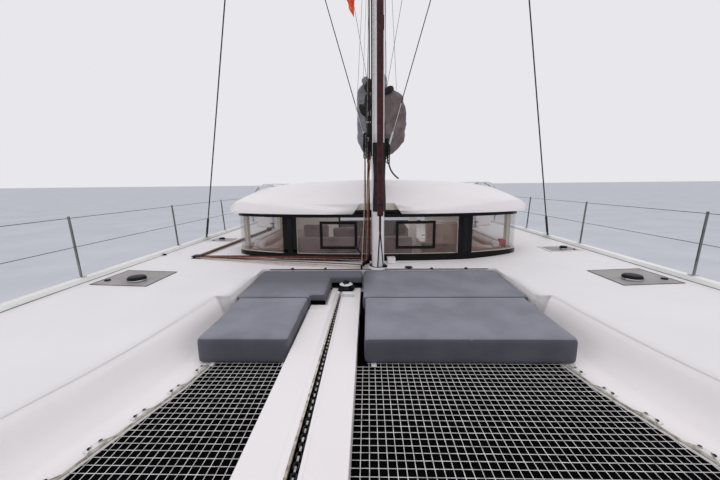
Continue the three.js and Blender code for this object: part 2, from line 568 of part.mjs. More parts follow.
// Columns: name, low x, high x
const FRONT_HATCHES = [
  ["window_hatch_port", 280, 880],
  ["window_hatch_starboard", -870, -300],
];
const HATCH_Z = [1670, 2093];
const HATCH_LAP = 22; // how far a hatch laps over the edge of its hole
for (const [side, word] of [[1, "port"], [-1, "starboard"]])
  for (const [name, xs, ys] of PANES) {
    let pane = common(glassBand, onSide(side, windowHole(xs, ys, -PANE_GAP * GAP)));
    for (const [, x0, x1] of name === "front_window" ? FRONT_HATCHES : [])
      pane = cut(pane, box([x0 + HATCH_LAP, x1 - HATCH_LAP], [-300, 400],
        [HATCH_Z[0] + HATCH_LAP, HATCH_Z[1] - HATCH_LAP]));
    part(`${name}_${word}`, pane, GLASS);
  }
part("aft_window", box([AFT_WINDOW.x[0] + GAP, AFT_WINDOW.x[1] - GAP], [3262, 3276],
  [AFT_WINDOW.z[0] + GAP, AFT_WINDOW.z[1] - GAP]), GLASS);

const hatchBand = bandAt(-12, GLASS_IN - GAP, 1400, 2300, 30);
for (const [name, x0, x1] of FRONT_HATCHES)
  part(name, common(hatchBand, box([x0, x1], [-300, 400], HATCH_Z)), BLACK_PLASTIC);

// Sliding door on the aft face of the bulkhead
part("saloon_door", box([-905, 5], [BULKHEAD_Y[1] + CLEAR, BULKHEAD_Y[1] + 46], [SOLE_Z + 12 + GAP, 2560]), GLASS);

// Posts under the aft corners of the roof
for (const [side, word] of [[1, "port"], [-1, "starboard"]]) {
  const post = clearOf(clearOf(bar([2300, 4720, 1300], [2330, 4700, ROOF_Z + 20], 32, 12), hullPort), roof);
  part(`roof_post_${word}`, onSide(side, post), STAINLESS);
}

// Saloon and cockpit furniture
const seat = (x, y, z) => box(x, y, [SOLE_Z + GAP, z]);
part("saloon_settee", joined(
  seat([-1385, 560], [165, 800], SOLE_Z + 430), seat([-1385, -800], [165, 2150], SOLE_Z + 430),
  seat([-1385, 560], [165, 300], DECK_Z + 330), seat([-1385, -1240], [165, 2150], DECK_Z + 250)), UPHOLSTERY);
part("saloon_table", joined(
  seat([-330, -210], [1180, 1700], SOLE_Z + 690), box([-690, 160], [1000, 1960], [SOLE_Z + 690 - 1, SOLE_Z + 725])), WOOD);
part("galley", joined(
  seat([760, 1385], [520, 3050], SOLE_Z + 900), box([740, 1385], [500, 3060], [SOLE_Z + 899, SOLE_Z + 930])), WOOD);
part("cockpit_bench", joined(
  seat([-1380, 1380], [3960, STERN_BEAM_Y[0] - GAP], SOLE_Z + 420),
  seat([-1380, 1380], [4440, STERN_BEAM_Y[0] - GAP], DECK_Z + 120)), UPHOLSTERY);

// Helm stations on the side decks, with wheels on a fore-and-aft shaft
const HELM = { x: 2880, y: 4050, z: 2290 };
const WHEEL_R = 360;
for (const [side, word] of [[1, "port"], [-1, "starboard"]]) {
  const pedestal = cut(joined(
    loft([
      [[HELM.x - 210, 3700, 1300], [HELM.x + 210, 3700, 1300], [HELM.x + 210, 3960, 1300], [HELM.x - 210, 3960, 1300]],
      [[HELM.x - 190, 3740, 2180], [HELM.x + 190, 3740, 2180], [HELM.x + 190, 3950, 2180], [HELM.x - 190, 3950, 2180]],
      [[HELM.x - 180, 3800, 2420], [HELM.x + 180, 3800, 2420], [HELM.x + 180, 3900, 2420], [HELM.x - 180, 3900, 2420]],
    ], [0, 1]),
    bar([HELM.x, 3860, HELM.z], [HELM.x, HELM.y - 42, HELM.z], 26, 16)),
  moved(hullPort, 0, 0, GAP));
  part(`helm_pedestal_${word}`, onSide(side, pedestal), GELCOAT);
  const rim = new THREE.TorusGeometry(WHEEL_R, 14, 6, 30).rotateX(Math.PI / 2).translate(HELM.x, HELM.y, HELM.z);
  const spokes = [0, 1, 2, 3, 4].map((k) => {
    const turn = Math.PI / 2 + (2 * Math.PI * k) / 5;
    return bar([HELM.x, HELM.y, HELM.z],
      [HELM.x + WHEEL_R * Math.cos(turn), HELM.y, HELM.z + WHEEL_R * Math.sin(turn)], 9, 6);
  });
  const hub = bar([HELM.x, HELM.y - 42 + GAP, HELM.z], [HELM.x, HELM.y + 26, HELM.z], 44, 16);
  part(`helm_wheel_${word}`, onSide(side, joined(rim, ...spokes, hub)), STAINLESS);
  const helmSeat = cut(
    joined(box([HELM.x - 280, HELM.x + 280], [4520, 4860], [1300, 2010]),
      box([HELM.x - 280, HELM.x + 280], [4800, 4860], [1990, 2330])),
    moved(hullPort, 0, 0, GAP));
  part(`helm_seat_${word}`, onSide(side, helmSeat), GELCOAT);
}

// Rudders, saildrive legs and propellers
const SHAFT_Y = 3480;
const SHAFT_Z = -880;
for (const [side, word] of [[1, "port"], [-1, "starboard"]]) {
  const rudder = joined(
    loft([foilRing(HULL_X, RUDDER_Y - 130, 430, 52, -330), foilRing(HULL_X, RUDDER_Y - 70, 320, 36, -1180)], [0, 1]),
    bar([HULL_X, RUDDER_Y, -500], [HULL_X, RUDDER_Y, STOCK_TOP_Z - GAP], STOCK_R, 16));
  part(`rudder_${word}`, onSide(side, rudder), ANTIFOUL);
  const leg = cut(joined(
    loft([foilRing(HULL_X, SHAFT_Y - 420, 380, 80, -300), foilRing(HULL_X, SHAFT_Y - 400, 330, 60, SHAFT_Z - 30)], [0, 1]),
    bar([HULL_X, SHAFT_Y - 460, SHAFT_Z], [HULL_X, SHAFT_Y - 40, SHAFT_Z], 58, 14, 62)),
  moved(hullPort, 0, 0, -GAP));
  part(`saildrive_${word}`, onSide(side, leg), BLACK_PLASTIC);
  const blade = (turn) => {
    const ring = (r, half, pitch) => [[-half, 0], [0, 9], [half, 0], [0, -9]].map(([a, b]) => {
      const [x, y] = [a * Math.cos(pitch) - b * Math.sin(pitch), a * Math.sin(pitch) + b * Math.cos(pitch)];
      return [x, y, r];
    });
    return loft([ring(20, 34, 1.0), ring(110, 66, 0.7), ring(175, 58, 0.5), ring(215, 20, 0.42)], [0, 1])
      .rotateY(turn).translate(HULL_X, SHAFT_Y + 20, SHAFT_Z);
  };
  const propeller = joined(
    bar([HULL_X, SHAFT_Y - 40 + GAP, SHAFT_Z], [HULL_X, SHAFT_Y + 90, SHAFT_Z], 50, 16, 26),
    ...[0, 1, 2].map((k) => blade((2 * Math.PI * k) / 3)));
  part(`propeller_${word}`, onSide(side, propeller), BRONZE);
}

// Mast with its spreaders, gooseneck lugs, masthead and foot
const ellipse = (rx, ry, steps = 16) =>
  Array.from({ length: steps }, (_, k) => {
    const turn = (2 * Math.PI * k) / steps;
    return [rx * Math.cos(turn), MAST_Y + ry * Math.sin(turn)];
  });
const SPREADER_Z = 7000;
const GOOSE = { y: -222, low: 2880, high: 3030 };
const SOCK_TOP = { y: -610, z: 14900 };
const spreader = (side) => bar([0, MAST_Y + 40, SPREADER_Z], [side * 1200, MAST_Y + 260, SPREADER_Z + 40], 34, 8, 20);
const lug = (z0, z1) => box([-32, 32], [MAST_Y + 100, GOOSE.y + 34], [z0, z1]);
const mast = joined(
  plate(ellipse(MAST_HALF.x, MAST_HALF.y), DECK_Z + GAP, MAST_TOP_Z),
  plate(ellipse(MAST_HALF.x + 55, MAST_HALF.y + 55), DECK_Z + GAP, DECK_Z + 30),
  box([-30, 30], [MAST_Y - 230, MAST_Y + 420], [MAST_TOP_Z - 60, MAST_TOP_Z + 20]),
  box([-45, 45], [SOCK_TOP.y - 60, MAST_Y], [SOCK_TOP.z, SOCK_TOP.z + 60]),
  box([-110, 110], [MAST_Y - 170, MAST_Y + 120], [HOUNDS_Z - 60, HOUNDS_Z + 60]),
  spreader(1), spreader(-1),
  lug(GOOSE.low - 26, GOOSE.low), lug(GOOSE.high, GOOSE.high + 26));
part("mast", mast, ALUMINIUM);

// Boom on its gooseneck barrel, with the sail in its bag along the top
const BOOM_AFT_Y = 4750;
const boomRing = (y, low, high, half) => [
  [-half * 0.7, y, low], [half * 0.7, y, low], [half, y, low + 40], [half, y, high - 25],
  [half * 0.8, y, high], [-half * 0.8, y, high], [-half, y, high - 25], [-half, y, low + 40]];
const BOOM_TOP = { fore: 3020, aft: 3330 };
const boom = joined(
  loft([boomRing(-110, 2830, BOOM_TOP.fore, 78), boomRing(BOOM_AFT_Y, 3130, BOOM_TOP.aft, 78)]),
  box([-24, 24], [GOOSE.y, -90], [GOOSE.low + 20, GOOSE.high - 25]),
  bar([0, GOOSE.y, GOOSE.low + GAP], [0, GOOSE.y, GOOSE.high - GAP], 24, 16));
part("boom", boom, ALUMINIUM);
// The bag bulges in two lobes, a lower fuller one to port and a higher flatter one to starboard
// Columns: y, reach to port, reach to starboard, height above the boom
const BAG = [
  [-100, 412, 280, 1040],
  [350, 385, 270, 1000],
  [1400, 310, 245, 820],
  [2800, 225, 195, 600],
  [4000, 160, 145, 430],
  [4600, 95, 95, 290],
];
// Columns: share of the reach, share of the height
const PORT_LOBE = [
  [0.27, 0], [0.56, 0.06], [0.91, 0.19], [1, 0.42], [0.99, 0.58], [0.87, 0.77], [0.73, 0.84], [0.49, 0.9], [0.25, 0.86]];
const STARBOARD_LOBE = [
  [0.3, 0], [0.57, 0.04], [0.82, 0.12], [0.96, 0.23], [1, 0.59], [0.99, 0.74], [0.95, 0.87], [0.69, 0.95], [0.38, 1],
  [0.08, 0.93]];
const boomTopZ = (y) => BOOM_TOP.fore + ((y + 110) / (BOOM_AFT_Y + 110)) * (BOOM_TOP.aft - BOOM_TOP.fore);
const bagRing = ([y, port, starboard, height]) => {
  const z = boomTopZ(y) + GAP;
  return [
    ...PORT_LOBE.map(([u, v]) => [u * port, y, z + v * height]),
    ...STARBOARD_LOBE.toReversed().map(([u, v]) => [-u * starboard, y, z + v * height])];
};
part("sail_bag", loft(BAG.map(bagRing)), BAG_CLOTH);

// Standing rigging, and the sail furled on the forestay
const STAY_R = 11;
const FORESTAY = { foot: [0, BEAM_Y, STRIKER_Z + 0.33 * STAY_R + GAP], head: [0, MAST_Y - 150, HOUNDS_Z - 50] };
const alongStay = (t) => FORESTAY.foot.map((v, i) => v + t * (FORESTAY.head[i] - v));
part("furled_genoa", clearOf(joined(
  bar(FORESTAY.foot, FORESTAY.head, STAY_R, 8),
  bar(alongStay(0.008), alongStay(0.016), 110, 16),
  bar(alongStay(0.03), alongStay(0.5), 70, 12, 58),
  bar(alongStay(0.498), alongStay(0.93), 58, 12, 28)), mast), SAILCLOTH);
const CHAINPLATE = { x: 3425, y: 1610 };
for (const [side, word] of [[1, "port"], [-1, "starboard"]]) {
  const foot = [CHAINPLATE.x, CHAINPLATE.y, 1610];
  const head = [95, MAST_Y + 60, HOUNDS_Z - 50];
  const alongShroud = (t) => foot.map((v, i) => v + t * (head[i] - v));
  const shroud = clearOf(clearOf(
    joined(bar(foot, head, STAY_R, 8), bar(alongShroud(0.004), alongShroud(0.026), 20, 8)), hullPort), mast);
  part(`shroud_${word}`, onSide(side, shroud), BLACK_PLASTIC);
}

// Gennaker stowed in its red sock before the mast
part("stowed_gennaker", clearOf(joined(
  bar([22, -690, 2250], [12, SOCK_TOP.y - 8, SOCK_TOP.z - 500], 42, 10),
  bar([12, SOCK_TOP.y - 8, SOCK_TOP.z - 510], [10, SOCK_TOP.y, SOCK_TOP.z + 10], 42, 10, 10)), mast), RED_CLOTH);

// Rails: stanchions, two lifelines and the pulpit of each bow, all welded or strung into one
const STANCHION_YS = [-5050, -3150, -1320, 650, 2550, 4350, 4820];
const STANCHION_HIGH = 700;
const STANCHION_LEAN = 40; // outwards, from foot to head
const RAIL_R = 13;
const WIRE_R = 4;
const WIRE_SECTION = [0, 1, 2, 3, 4, 5].map((k) => [
  WIRE_R * Math.cos((k * Math.PI) / 3), WIRE_R * Math.sin((k * Math.PI) / 3)]);
const railTop = (y, k) => [at(GUNWALE, y) - 35 + STANCHION_LEAN * k, y, at(RAIL, y) + STANCHION_HIGH * k];
for (const [side, word] of [[1, "port"], [-1, "starboard"]]) {
  const posts = STANCHION_YS.map((y) => bar(railTop(y, -0.05), railTop(y, 1), RAIL_R, 6));
  const wires = [0.5, 0.97].map((k) => loft(STANCHION_YS.map((y) => {
    const [x, , z] = railTop(y, k);
    return WIRE_SECTION.map(([u, v]) => [x + u, y, z + v]);
  })));
  const pulpit = bent([
    railTop(-5050, 1), [2900, -5560, 2370], [2680, -5960, 2380], [2480, -5960, 2380], [2330, -5560, 2370],
    [2330, -5250, 2360], [2360, -5200, 1450]], RAIL_R, 6);
  const stay = bar([2830, -5560, 1500], [2880, -5560, 2370], RAIL_R, 6);
  const rail = clearOf(joined(...posts, ...wires, pulpit, stay), hullPort);
  part(`rail_${word}`, onSide(side, rail), STAINLESS);
}

// Deck hatch lids
for (const [side, word] of [[1, "port"], [-1, "starboard"]])
  for (const [name, x0, x1, length, { [word]: y0 }] of HATCHES)
    part(`${name}_${word}`, onSide(side, onDeck(hatchLid(x1 - x0, y0, y0 + length), x0)), BLACK_PLASTIC);

export default catamaran;
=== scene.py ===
import json
import math

import bpy
from mathutils import Matrix, Vector

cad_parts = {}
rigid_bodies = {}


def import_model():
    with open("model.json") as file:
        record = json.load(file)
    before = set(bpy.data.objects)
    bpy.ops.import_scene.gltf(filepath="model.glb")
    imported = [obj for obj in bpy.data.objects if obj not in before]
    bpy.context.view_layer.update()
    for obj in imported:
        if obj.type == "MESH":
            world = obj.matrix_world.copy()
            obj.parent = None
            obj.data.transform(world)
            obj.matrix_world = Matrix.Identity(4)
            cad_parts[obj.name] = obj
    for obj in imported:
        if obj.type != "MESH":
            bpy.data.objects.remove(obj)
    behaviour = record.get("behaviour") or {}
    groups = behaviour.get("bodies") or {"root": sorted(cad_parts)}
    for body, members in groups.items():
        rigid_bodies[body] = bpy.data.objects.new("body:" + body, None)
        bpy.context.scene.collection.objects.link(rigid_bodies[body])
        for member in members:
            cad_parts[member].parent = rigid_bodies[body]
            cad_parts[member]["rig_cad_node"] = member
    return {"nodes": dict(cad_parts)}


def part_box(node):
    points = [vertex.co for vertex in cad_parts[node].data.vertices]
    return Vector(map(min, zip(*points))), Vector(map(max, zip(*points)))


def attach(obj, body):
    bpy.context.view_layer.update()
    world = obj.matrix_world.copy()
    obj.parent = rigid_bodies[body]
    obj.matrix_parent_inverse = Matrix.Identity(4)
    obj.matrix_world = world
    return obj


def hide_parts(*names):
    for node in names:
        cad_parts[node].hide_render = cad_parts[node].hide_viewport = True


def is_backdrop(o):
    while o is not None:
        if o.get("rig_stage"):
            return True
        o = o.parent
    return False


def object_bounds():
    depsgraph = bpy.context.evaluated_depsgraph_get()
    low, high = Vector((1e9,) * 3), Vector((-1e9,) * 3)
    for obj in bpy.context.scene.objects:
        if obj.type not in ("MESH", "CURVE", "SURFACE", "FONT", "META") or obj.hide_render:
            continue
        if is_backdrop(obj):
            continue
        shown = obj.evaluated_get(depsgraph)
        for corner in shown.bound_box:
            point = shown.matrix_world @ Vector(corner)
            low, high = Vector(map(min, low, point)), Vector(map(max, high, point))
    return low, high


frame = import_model()
packed_box = [list(corner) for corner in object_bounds()]

# View, floor and light
# The boat is seen as from its bows, by someone who stands on the nets and looks aft. It floats,
# so the pale floor lies at the waterline. A grey sky and one broad lamp light it softly.
EYE = Vector((-0.1345, -4.900, 2.650))
LOOK = Vector((-0.02512, 0.98521, -0.16951))
ROLL = math.radians(-0.58)
LENS = 16.37  # on a sensor 36 mm wide
HORIZON = 900.0
SKY_STRENGTH = 1.02
LAMP_PLACE = (2.0, -9.0, 28.0)
LAMP_SIZE = 20.0
LAMP_POWER = 1150.0


def deselect():
    if bpy.context.object and bpy.context.object.mode != "OBJECT":
        bpy.ops.object.mode_set(mode="OBJECT")
    bpy.ops.object.select_all(action="DESELECT")


def colour(hexed):
    """The linear value of an sRGB hex colour, for a shader's socket."""
    parts = [int(hexed[i:i + 2], 16) / 255 for i in (1, 3, 5)]
    return [c / 12.92 if c <= 0.04045 else ((c + 0.055) / 1.055) ** 2.4 for c in parts] + [1.0]


def add_node(material, kind, inputs=None, **settings):
    """One node of a material, with its settings, and with its inputs set or linked."""
    made = material.node_tree.nodes.new(kind)
    for key, value in settings.items():
        setattr(made, key, value)
    for key, value in (inputs or {}).items():
        if isinstance(value, bpy.types.NodeSocket):
            material.node_tree.links.new(value, made.inputs[key])
        else:
            made.inputs[key].default_value = value
    return made


def mottled(name, low, high, grain, bump_grain, bump_depth, **sockets):
    """A finish that wanders between two colours over one grain, with finer bumps, all in metres."""
    material = bpy.data.materials.new(name)
    material.use_nodes = True
    material.node_tree.nodes.clear()
    named = {key.replace("_", " "): value for key, value in sockets.items()}
    shader = add_node(material, "ShaderNodeBsdfPrincipled", named)
    add_node(material, "ShaderNodeOutputMaterial", {"Surface": shader.outputs["BSDF"]})
    place = add_node(material, "ShaderNodeTexCoord").outputs["Object"]
    cloud = add_node(material, "ShaderNodeTexNoise", {"Vector": place, "Scale": 1 / grain, "Detail": 4.0})
    spread = add_node(material, "ShaderNodeMapRange", {
        "Value": cloud.outputs["Fac"], "From Min": 0.35, "From Max": 0.65})
    shade = add_node(material, "ShaderNodeMix", {
        "Factor": spread.outputs["Result"], "A": colour(low), "B": colour(high)}, data_type="RGBA")
    fine = add_node(material, "ShaderNodeTexNoise", {"Vector": place, "Scale": 1 / bump_grain, "Detail": 2.0})
    bump = add_node(material, "ShaderNodeBump", {
        "Height": fine.outputs["Fac"], "Distance": bump_depth, "Strength": 0.6})
    material.node_tree.links.new(shade.outputs["Result"], shader.inputs["Base Color"])
    material.node_tree.links.new(bump.outputs["Normal"], shader.inputs["Normal"])
    return material, shader, shade


deselect()
bpy.ops.object.camera_add(location=EYE)
camera = bpy.context.object
camera.name = "camera"
camera.rotation_euler = (LOOK.to_track_quat("-Z", "Y").to_matrix() @ Matrix.Rotation(ROLL, 3, "Z")).to_euler()
camera.data.lens = LENS
camera.data.clip_end = 3 * HORIZON
bpy.context.scene.camera = camera

deselect()
bpy.ops.mesh.primitive_plane_add(size=2 * HORIZON)
floor = bpy.context.object
floor.name = "floor"
# A matt painted floor: even and pale, with faint rolled clouding
painted_floor = mottled("painted_floor", "#c4c8ce", "#ccd0d5", 2.5, 0.05, 0.0005, Roughness=0.9)[0]
floor.data.materials.append(painted_floor)
floor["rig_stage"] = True

world = bpy.data.worlds.new("grey_sky")
world.use_nodes = True
world.node_tree.nodes["Background"].inputs["Color"].default_value = colour("#e6e5ea")
world.node_tree.nodes["Background"].inputs["Strength"].default_value = SKY_STRENGTH
bpy.context.scene.world = world
deselect()
bpy.ops.object.light_add(type="AREA", location=LAMP_PLACE, rotation=(math.radians(-18), 0, 0))
lamp = bpy.context.object
lamp.name = "broad_lamp"
lamp.data.shape = "DISK"
lamp.data.size = LAMP_SIZE
lamp.data.energy = LAMP_POWER
bpy.context.scene.view_settings.view_transform = "Standard"

# Hulls
# Two slim hulls of glass fibre, laid up in moulds and sprayed with white gelcoat, with antifouling
# paint below the waterline and a fine non-skid pattern moulded into the decks. Dark acrylic
# portlights are glued flush into their sides, and the shrouds' plates and the cleats are bolted on.
PAINT_Z = 0.04  # the antifouling ends this high over the water
SIDES = (("port", 1), ("starboard", -1))
INNER_X = 1.40
DECK_Z = 1.485  # deck at INNER_X, from where it rises outboard
DECK_RISE = 0.0347
LEVEL = 0.998  # a face whose normal reaches this high is level
DECK_LOW = 1.47  # lower than every face of the decks


def deck_z(x):
    return DECK_Z + max(0.0, abs(x) - INNER_X) * DECK_RISE


def own_copy(node, name):
    """A copy of a CAD node under a name of its own, with its doubles merged and its flats made whole."""
    deselect()
    source = frame["nodes"][node]
    source.select_set(True)
    bpy.context.view_layer.objects.active = source
    bpy.ops.object.duplicate()
    copy = bpy.context.object
    copy.name = name
    copy.data.materials.clear()
    del copy["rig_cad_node"]
    bpy.ops.object.mode_set(mode="EDIT")
    bpy.ops.mesh.select_all(action="SELECT")
    bpy.ops.mesh.remove_doubles(threshold=1e-5)
    bpy.ops.mesh.dissolve_limited(angle_limit=math.radians(0.4))
    bpy.ops.object.mode_set(mode="OBJECT")
    return copy


def apply_modifier(piece, kind, **settings):
    """One modifier, set and applied, as by hand."""
    bpy.context.view_layer.objects.active = piece
    modifier = piece.modifiers.new(kind.lower(), kind)
    for key, value in settings.items():
        setattr(modifier, key, value)
    bpy.ops.object.modifier_apply(modifier=modifier.name)


def eased(piece, width, angle=38.0, segments=2):
    """Rounded edges."""
    apply_modifier(piece, "BEVEL", width=width, segments=segments, limit_method="ANGLE",
                   angle_limit=math.radians(angle))
    return piece


def settle(piece, body, slot, *materials):
    """The end of every piece: its place goes into its mesh, and it gets its finish and its body."""
    deselect()
    piece.select_set(True)
    bpy.context.view_layer.objects.active = piece
    bpy.ops.object.transform_apply(location=True, rotation=True, scale=True)
    for material in materials:
        piece.data.materials.append(material)
    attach(piece, body)
    return piece


def dressed(node, body, slot, *materials, bevel=0.0, angle=30.0, first=None):
    """A CAD node's own shape with its edges eased and its curves smooth, to stand for the node."""
    piece = own_copy(node, f"{node}_dressed")
    if first:
        first(piece)
    if bevel:
        eased(piece, bevel)
    bpy.ops.object.shade_smooth_by_angle(angle=math.radians(angle))
    if bevel:
        apply_modifier(piece, "WEIGHTED_NORMAL", keep_sharp=True)
    settle(piece, body, slot, *materials)
    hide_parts(node)
    return piece


def paint_faces(piece, index, wanted):
    """Gives a material slot to the faces whose middle and normal pass a test."""
    for face in piece.data.polygons:
        if wanted(face.center, face.normal):
            face.material_index = index


def select_faces(piece, wanted):
    """Edit mode, with only the faces selected whose middle and normal pass a test."""
    deselect()
    bpy.context.view_layer.objects.active = piece
    bpy.ops.object.mode_set(mode="EDIT")
    bpy.ops.mesh.select_mode(type="FACE")
    bpy.ops.mesh.select_all(action="DESELECT")
    bpy.ops.object.mode_set(mode="OBJECT")
    for face in piece.data.polygons:
        face.select = wanted(face.center, face.normal)
    bpy.ops.object.mode_set(mode="EDIT")


def block(low, high, ease, turn=(0, 0, 0)):
    """A box between two corners, with its edges eased, turned about its middle."""
    low, high = Vector(low), Vector(high)
    deselect()
    bpy.ops.mesh.primitive_cube_add(size=1, location=(low + high) / 2, rotation=turn)
    piece = bpy.context.object
    piece.scale = high - low
    bpy.ops.object.transform_apply(location=False, rotation=False, scale=True)
    return eased(piece, ease)


def drum(centre, radius, height, ease, turn=(0, 0, 0), top=None, sides=24):
    """A round boss, knob or tube about its middle, with its rims eased, narrowed at the top if asked."""
    deselect()
    bpy.ops.mesh.primitive_cone_add(vertices=sides, radius1=radius, radius2=radius if top is None else top,
                                    depth=height, location=centre, rotation=turn)
    return eased(bpy.context.object, ease)


def taut_line(start, end, radius, sides=8):
    """A straight line of cord, rope, wire or tube between two points."""
    start, end = Vector(start), Vector(end)
    deselect()
    bpy.ops.mesh.primitive_cylinder_add(vertices=sides, radius=radius, depth=(end - start).length,
                                        location=(start + end) / 2,
                                        rotation=(end - start).to_track_quat("Z", "Y").to_euler())
    return bpy.context.object


def bent_line(points, radius, handles="AUTO", closed=False, steps=8):
    """A curve through points with a round section, made a mesh: bent tube, or rope that turns."""
    deselect()
    bpy.ops.curve.primitive_bezier_curve_add()
    line = bpy.context.object
    line.data.splines.clear()
    spline = line.data.splines.new("BEZIER")
    spline.bezier_points.add(len(points) - 1)
    for knot, point in zip(spline.bezier_points, points):
        knot.co = point
        knot.handle_left_type = knot.handle_right_type = handles
    spline.use_cyclic_u = closed
    line.location = (0, 0, 0)
    line.data.dimensions = "3D"
    line.data.resolution_u = steps
    line.data.bevel_depth = radius
    line.data.bevel_resolution = 1
    line.data.use_fill_caps = True
    bpy.ops.object.convert(target="MESH")
    return bpy.context.object


def joined(name, pieces):
    """Several objects as one mesh under one name."""
    deselect()
    for piece in pieces:
        piece.select_set(True)
    bpy.context.view_layer.objects.active = pieces[0]
    bpy.ops.object.join()
    whole = bpy.context.object
    whole.name = name
    return whole


def assembled(name, pieces, body, slot, material, angle=35.0):
    """Several parts as one piece of one material, smooth where they are round."""
    whole = joined(name, pieces)
    bpy.ops.object.shade_smooth_by_angle(angle=math.radians(angle))
    return settle(whole, body, slot, material)


def copied(template, places):
    """Copies of a part, each with a mesh of its own, at places with a turn about Z. The part goes."""
    made = []
    for place, turn in places:
        piece = template.copy()
        piece.data = template.data.copy()
        bpy.context.collection.objects.link(piece)
        piece.matrix_world = Matrix.Translation(place) @ Matrix.Rotation(turn, 4, "Z") @ template.matrix_world
        made.append(piece)
    bpy.data.objects.remove(template)
    return made


# Gelcoat, sprayed in a polished mould: clean, glossy and white, a little chalked by the sun
gelcoat = mottled("moulded_gelcoat", "#f2eded", "#f6f2f2", 1.3, 0.004, 0.00008,
                  Roughness=0.34, Coat_Weight=0.2, Coat_Roughness=0.2)[0]
# The same gelcoat over antifouling, rolled on matt and dark below a sharp painted line
hull_finish, shader, tone = mottled("gelcoat_over_antifouling", "#f7f2f2", "#fbf7f7", 1.3, 0.004, 0.00008)
place = add_node(hull_finish, "ShaderNodeTexCoord").outputs["Object"]
height = add_node(hull_finish, "ShaderNodeSeparateXYZ", {"Vector": place}).outputs["Z"]
over_line = add_node(hull_finish, "ShaderNodeMath", {0: height, 1: PAINT_Z}, operation="GREATER_THAN")
above = over_line.outputs["Value"]
painted = add_node(hull_finish, "ShaderNodeMix", {
    "Factor": above, "A": colour("#2c3038"), "B": tone.outputs["Result"]}, data_type="RGBA")
gloss = add_node(hull_finish, "ShaderNodeMapRange", {"Value": above, "To Min": 0.8, "To Max": 0.34})
hull_finish.node_tree.links.new(painted.outputs["Result"], shader.inputs["Base Color"])
hull_finish.node_tree.links.new(gloss.outputs["Result"], shader.inputs["Roughness"])
# Non-skid moulded into the gelcoat: matt, a touch greyer, with raised grains 4 mm across
nonskid = mottled("moulded_nonskid_gelcoat", "#eae7e8", "#eeebec", 0.8, 0.004, 0.0008, Roughness=0.6)[0]
# The hulls' mould is rounded broadly where the deck turns down to the nets, so no crease shows there
SOFT_CREASE = 0.24
SOFT_AFT = (-1.0, -0.7)  # y over which the rounding ends
for finish in (hull_finish, nonskid):
    rounding = add_node(finish, "ShaderNodeBevel", {"Radius": SOFT_CREASE}, samples=8)
    place = add_node(finish, "ShaderNodeTexCoord").outputs["Object"]
    along = add_node(finish, "ShaderNodeSeparateXYZ", {"Vector": place}).outputs["Y"]
    aft = add_node(finish, "ShaderNodeMapRange", {
        "Value": along, "From Min": SOFT_AFT[0], "From Max": SOFT_AFT[1]})
    flat = add_node(finish, "ShaderNodeNewGeometry").outputs["Normal"]
    turned = add_node(finish, "ShaderNodeMix", data_type="VECTOR")
    for output, socket in ((aft.outputs["Result"], 0), (rounding.outputs["Normal"], 4), (flat, 5)):
        finish.node_tree.links.new(output, turned.inputs[socket])
    relief = next(node for node in finish.node_tree.nodes if node.type == "BUMP")
    finish.node_tree.links.new(turned.outputs[1], relief.inputs["Normal"])
# Cast acrylic, deeply tinted and glued in: near black, very smooth
black_acrylic = mottled("cast_black_acrylic", "#040505", "#070808", 0.6, 0.2, 0.0002,
                        Roughness=0.10, Specular_IOR_Level=0.18)[0]
# Polished stainless steel: bright, with fine polishing marks
stainless = mottled("polished_stainless_steel", "#c4c6c9", "#d6d8da", 0.3, 0.001, 0.00003,
                    Metallic=1.0, Roughness=0.16)[0]
# Glass-filled nylon, moulded: black with a dull sheen
black_plastic = mottled("moulded_black_nylon", "#050506", "#0a0b0b", 0.1, 0.0012, 0.00008,
                        Roughness=0.5, Specular_IOR_Level=0.2)[0]

# The same gelcoat on the toe rail's sides, painted brighter as light on faces that lie in shade, with a faint
# green cast
rail_painted_light_gelcoat = mottled("rail_gelcoat_painted_light", "#f5f6f2", "#fbfbf8", 0.6, 0.004, 0.0001, Roughness=0.4)[0]
# A dark grey line along the toe rail's foot: painted shadow, matt
foot_shadow_line = mottled("painted_shadow_line", "#3c3e40", "#55575a", 0.1, 0.004, 0.0003, Roughness=0.8)[0]
# Columns: y, and how far out the toe rail's foot runs
RAIL_FOOT = ((-5.20, 2.965), (-4.5, 3.155), (-3.45, 3.320), (-2.42, 3.390), (-1.63, 3.410), (0, 3.415),
             (2.5, 3.415), (4.3, 3.375), (4.90, 3.338))
RAIL_Z = (1.53, 1.70)  # between these heights, outside RAIL_IN and fore of RAIL_END, a hull is toe rail
RAIL_IN, RAIL_END = 2.9, 5.0
SHADOW_LINE_WIDE = 0.004
CREASE_ROUND = 0.040
CREASE_AFT = -0.9  # y where the crease ends
CREASE_SLOPE = (0.3, 0.7)  # how high the normals of the faces below it reach


def round_crease(piece):
    """Rounds the line where the deck turns down to the nets."""
    beside = {}
    for face in piece.data.polygons:
        for key in face.edge_keys:
            beside.setdefault(key, []).append(face.normal.z)
    select_faces(piece, lambda middle, normal: False)
    bpy.ops.mesh.select_mode(type="EDGE")
    bpy.ops.object.mode_set(mode="OBJECT")
    for edge in piece.data.edges:
        low, high = min(beside[edge.key]), max(beside[edge.key])
        ends = [piece.data.vertices[index].co for index in edge.vertices]
        edge.select = (high > LEVEL and CREASE_SLOPE[0] < low < CREASE_SLOPE[1]
                       and min(end.z for end in ends) > DECK_LOW and ends[0].y < CREASE_AFT)
    bpy.ops.object.mode_set(mode="EDIT")
    bpy.ops.mesh.bevel(offset=CREASE_ROUND, segments=4)
    bpy.ops.object.mode_set(mode="OBJECT")


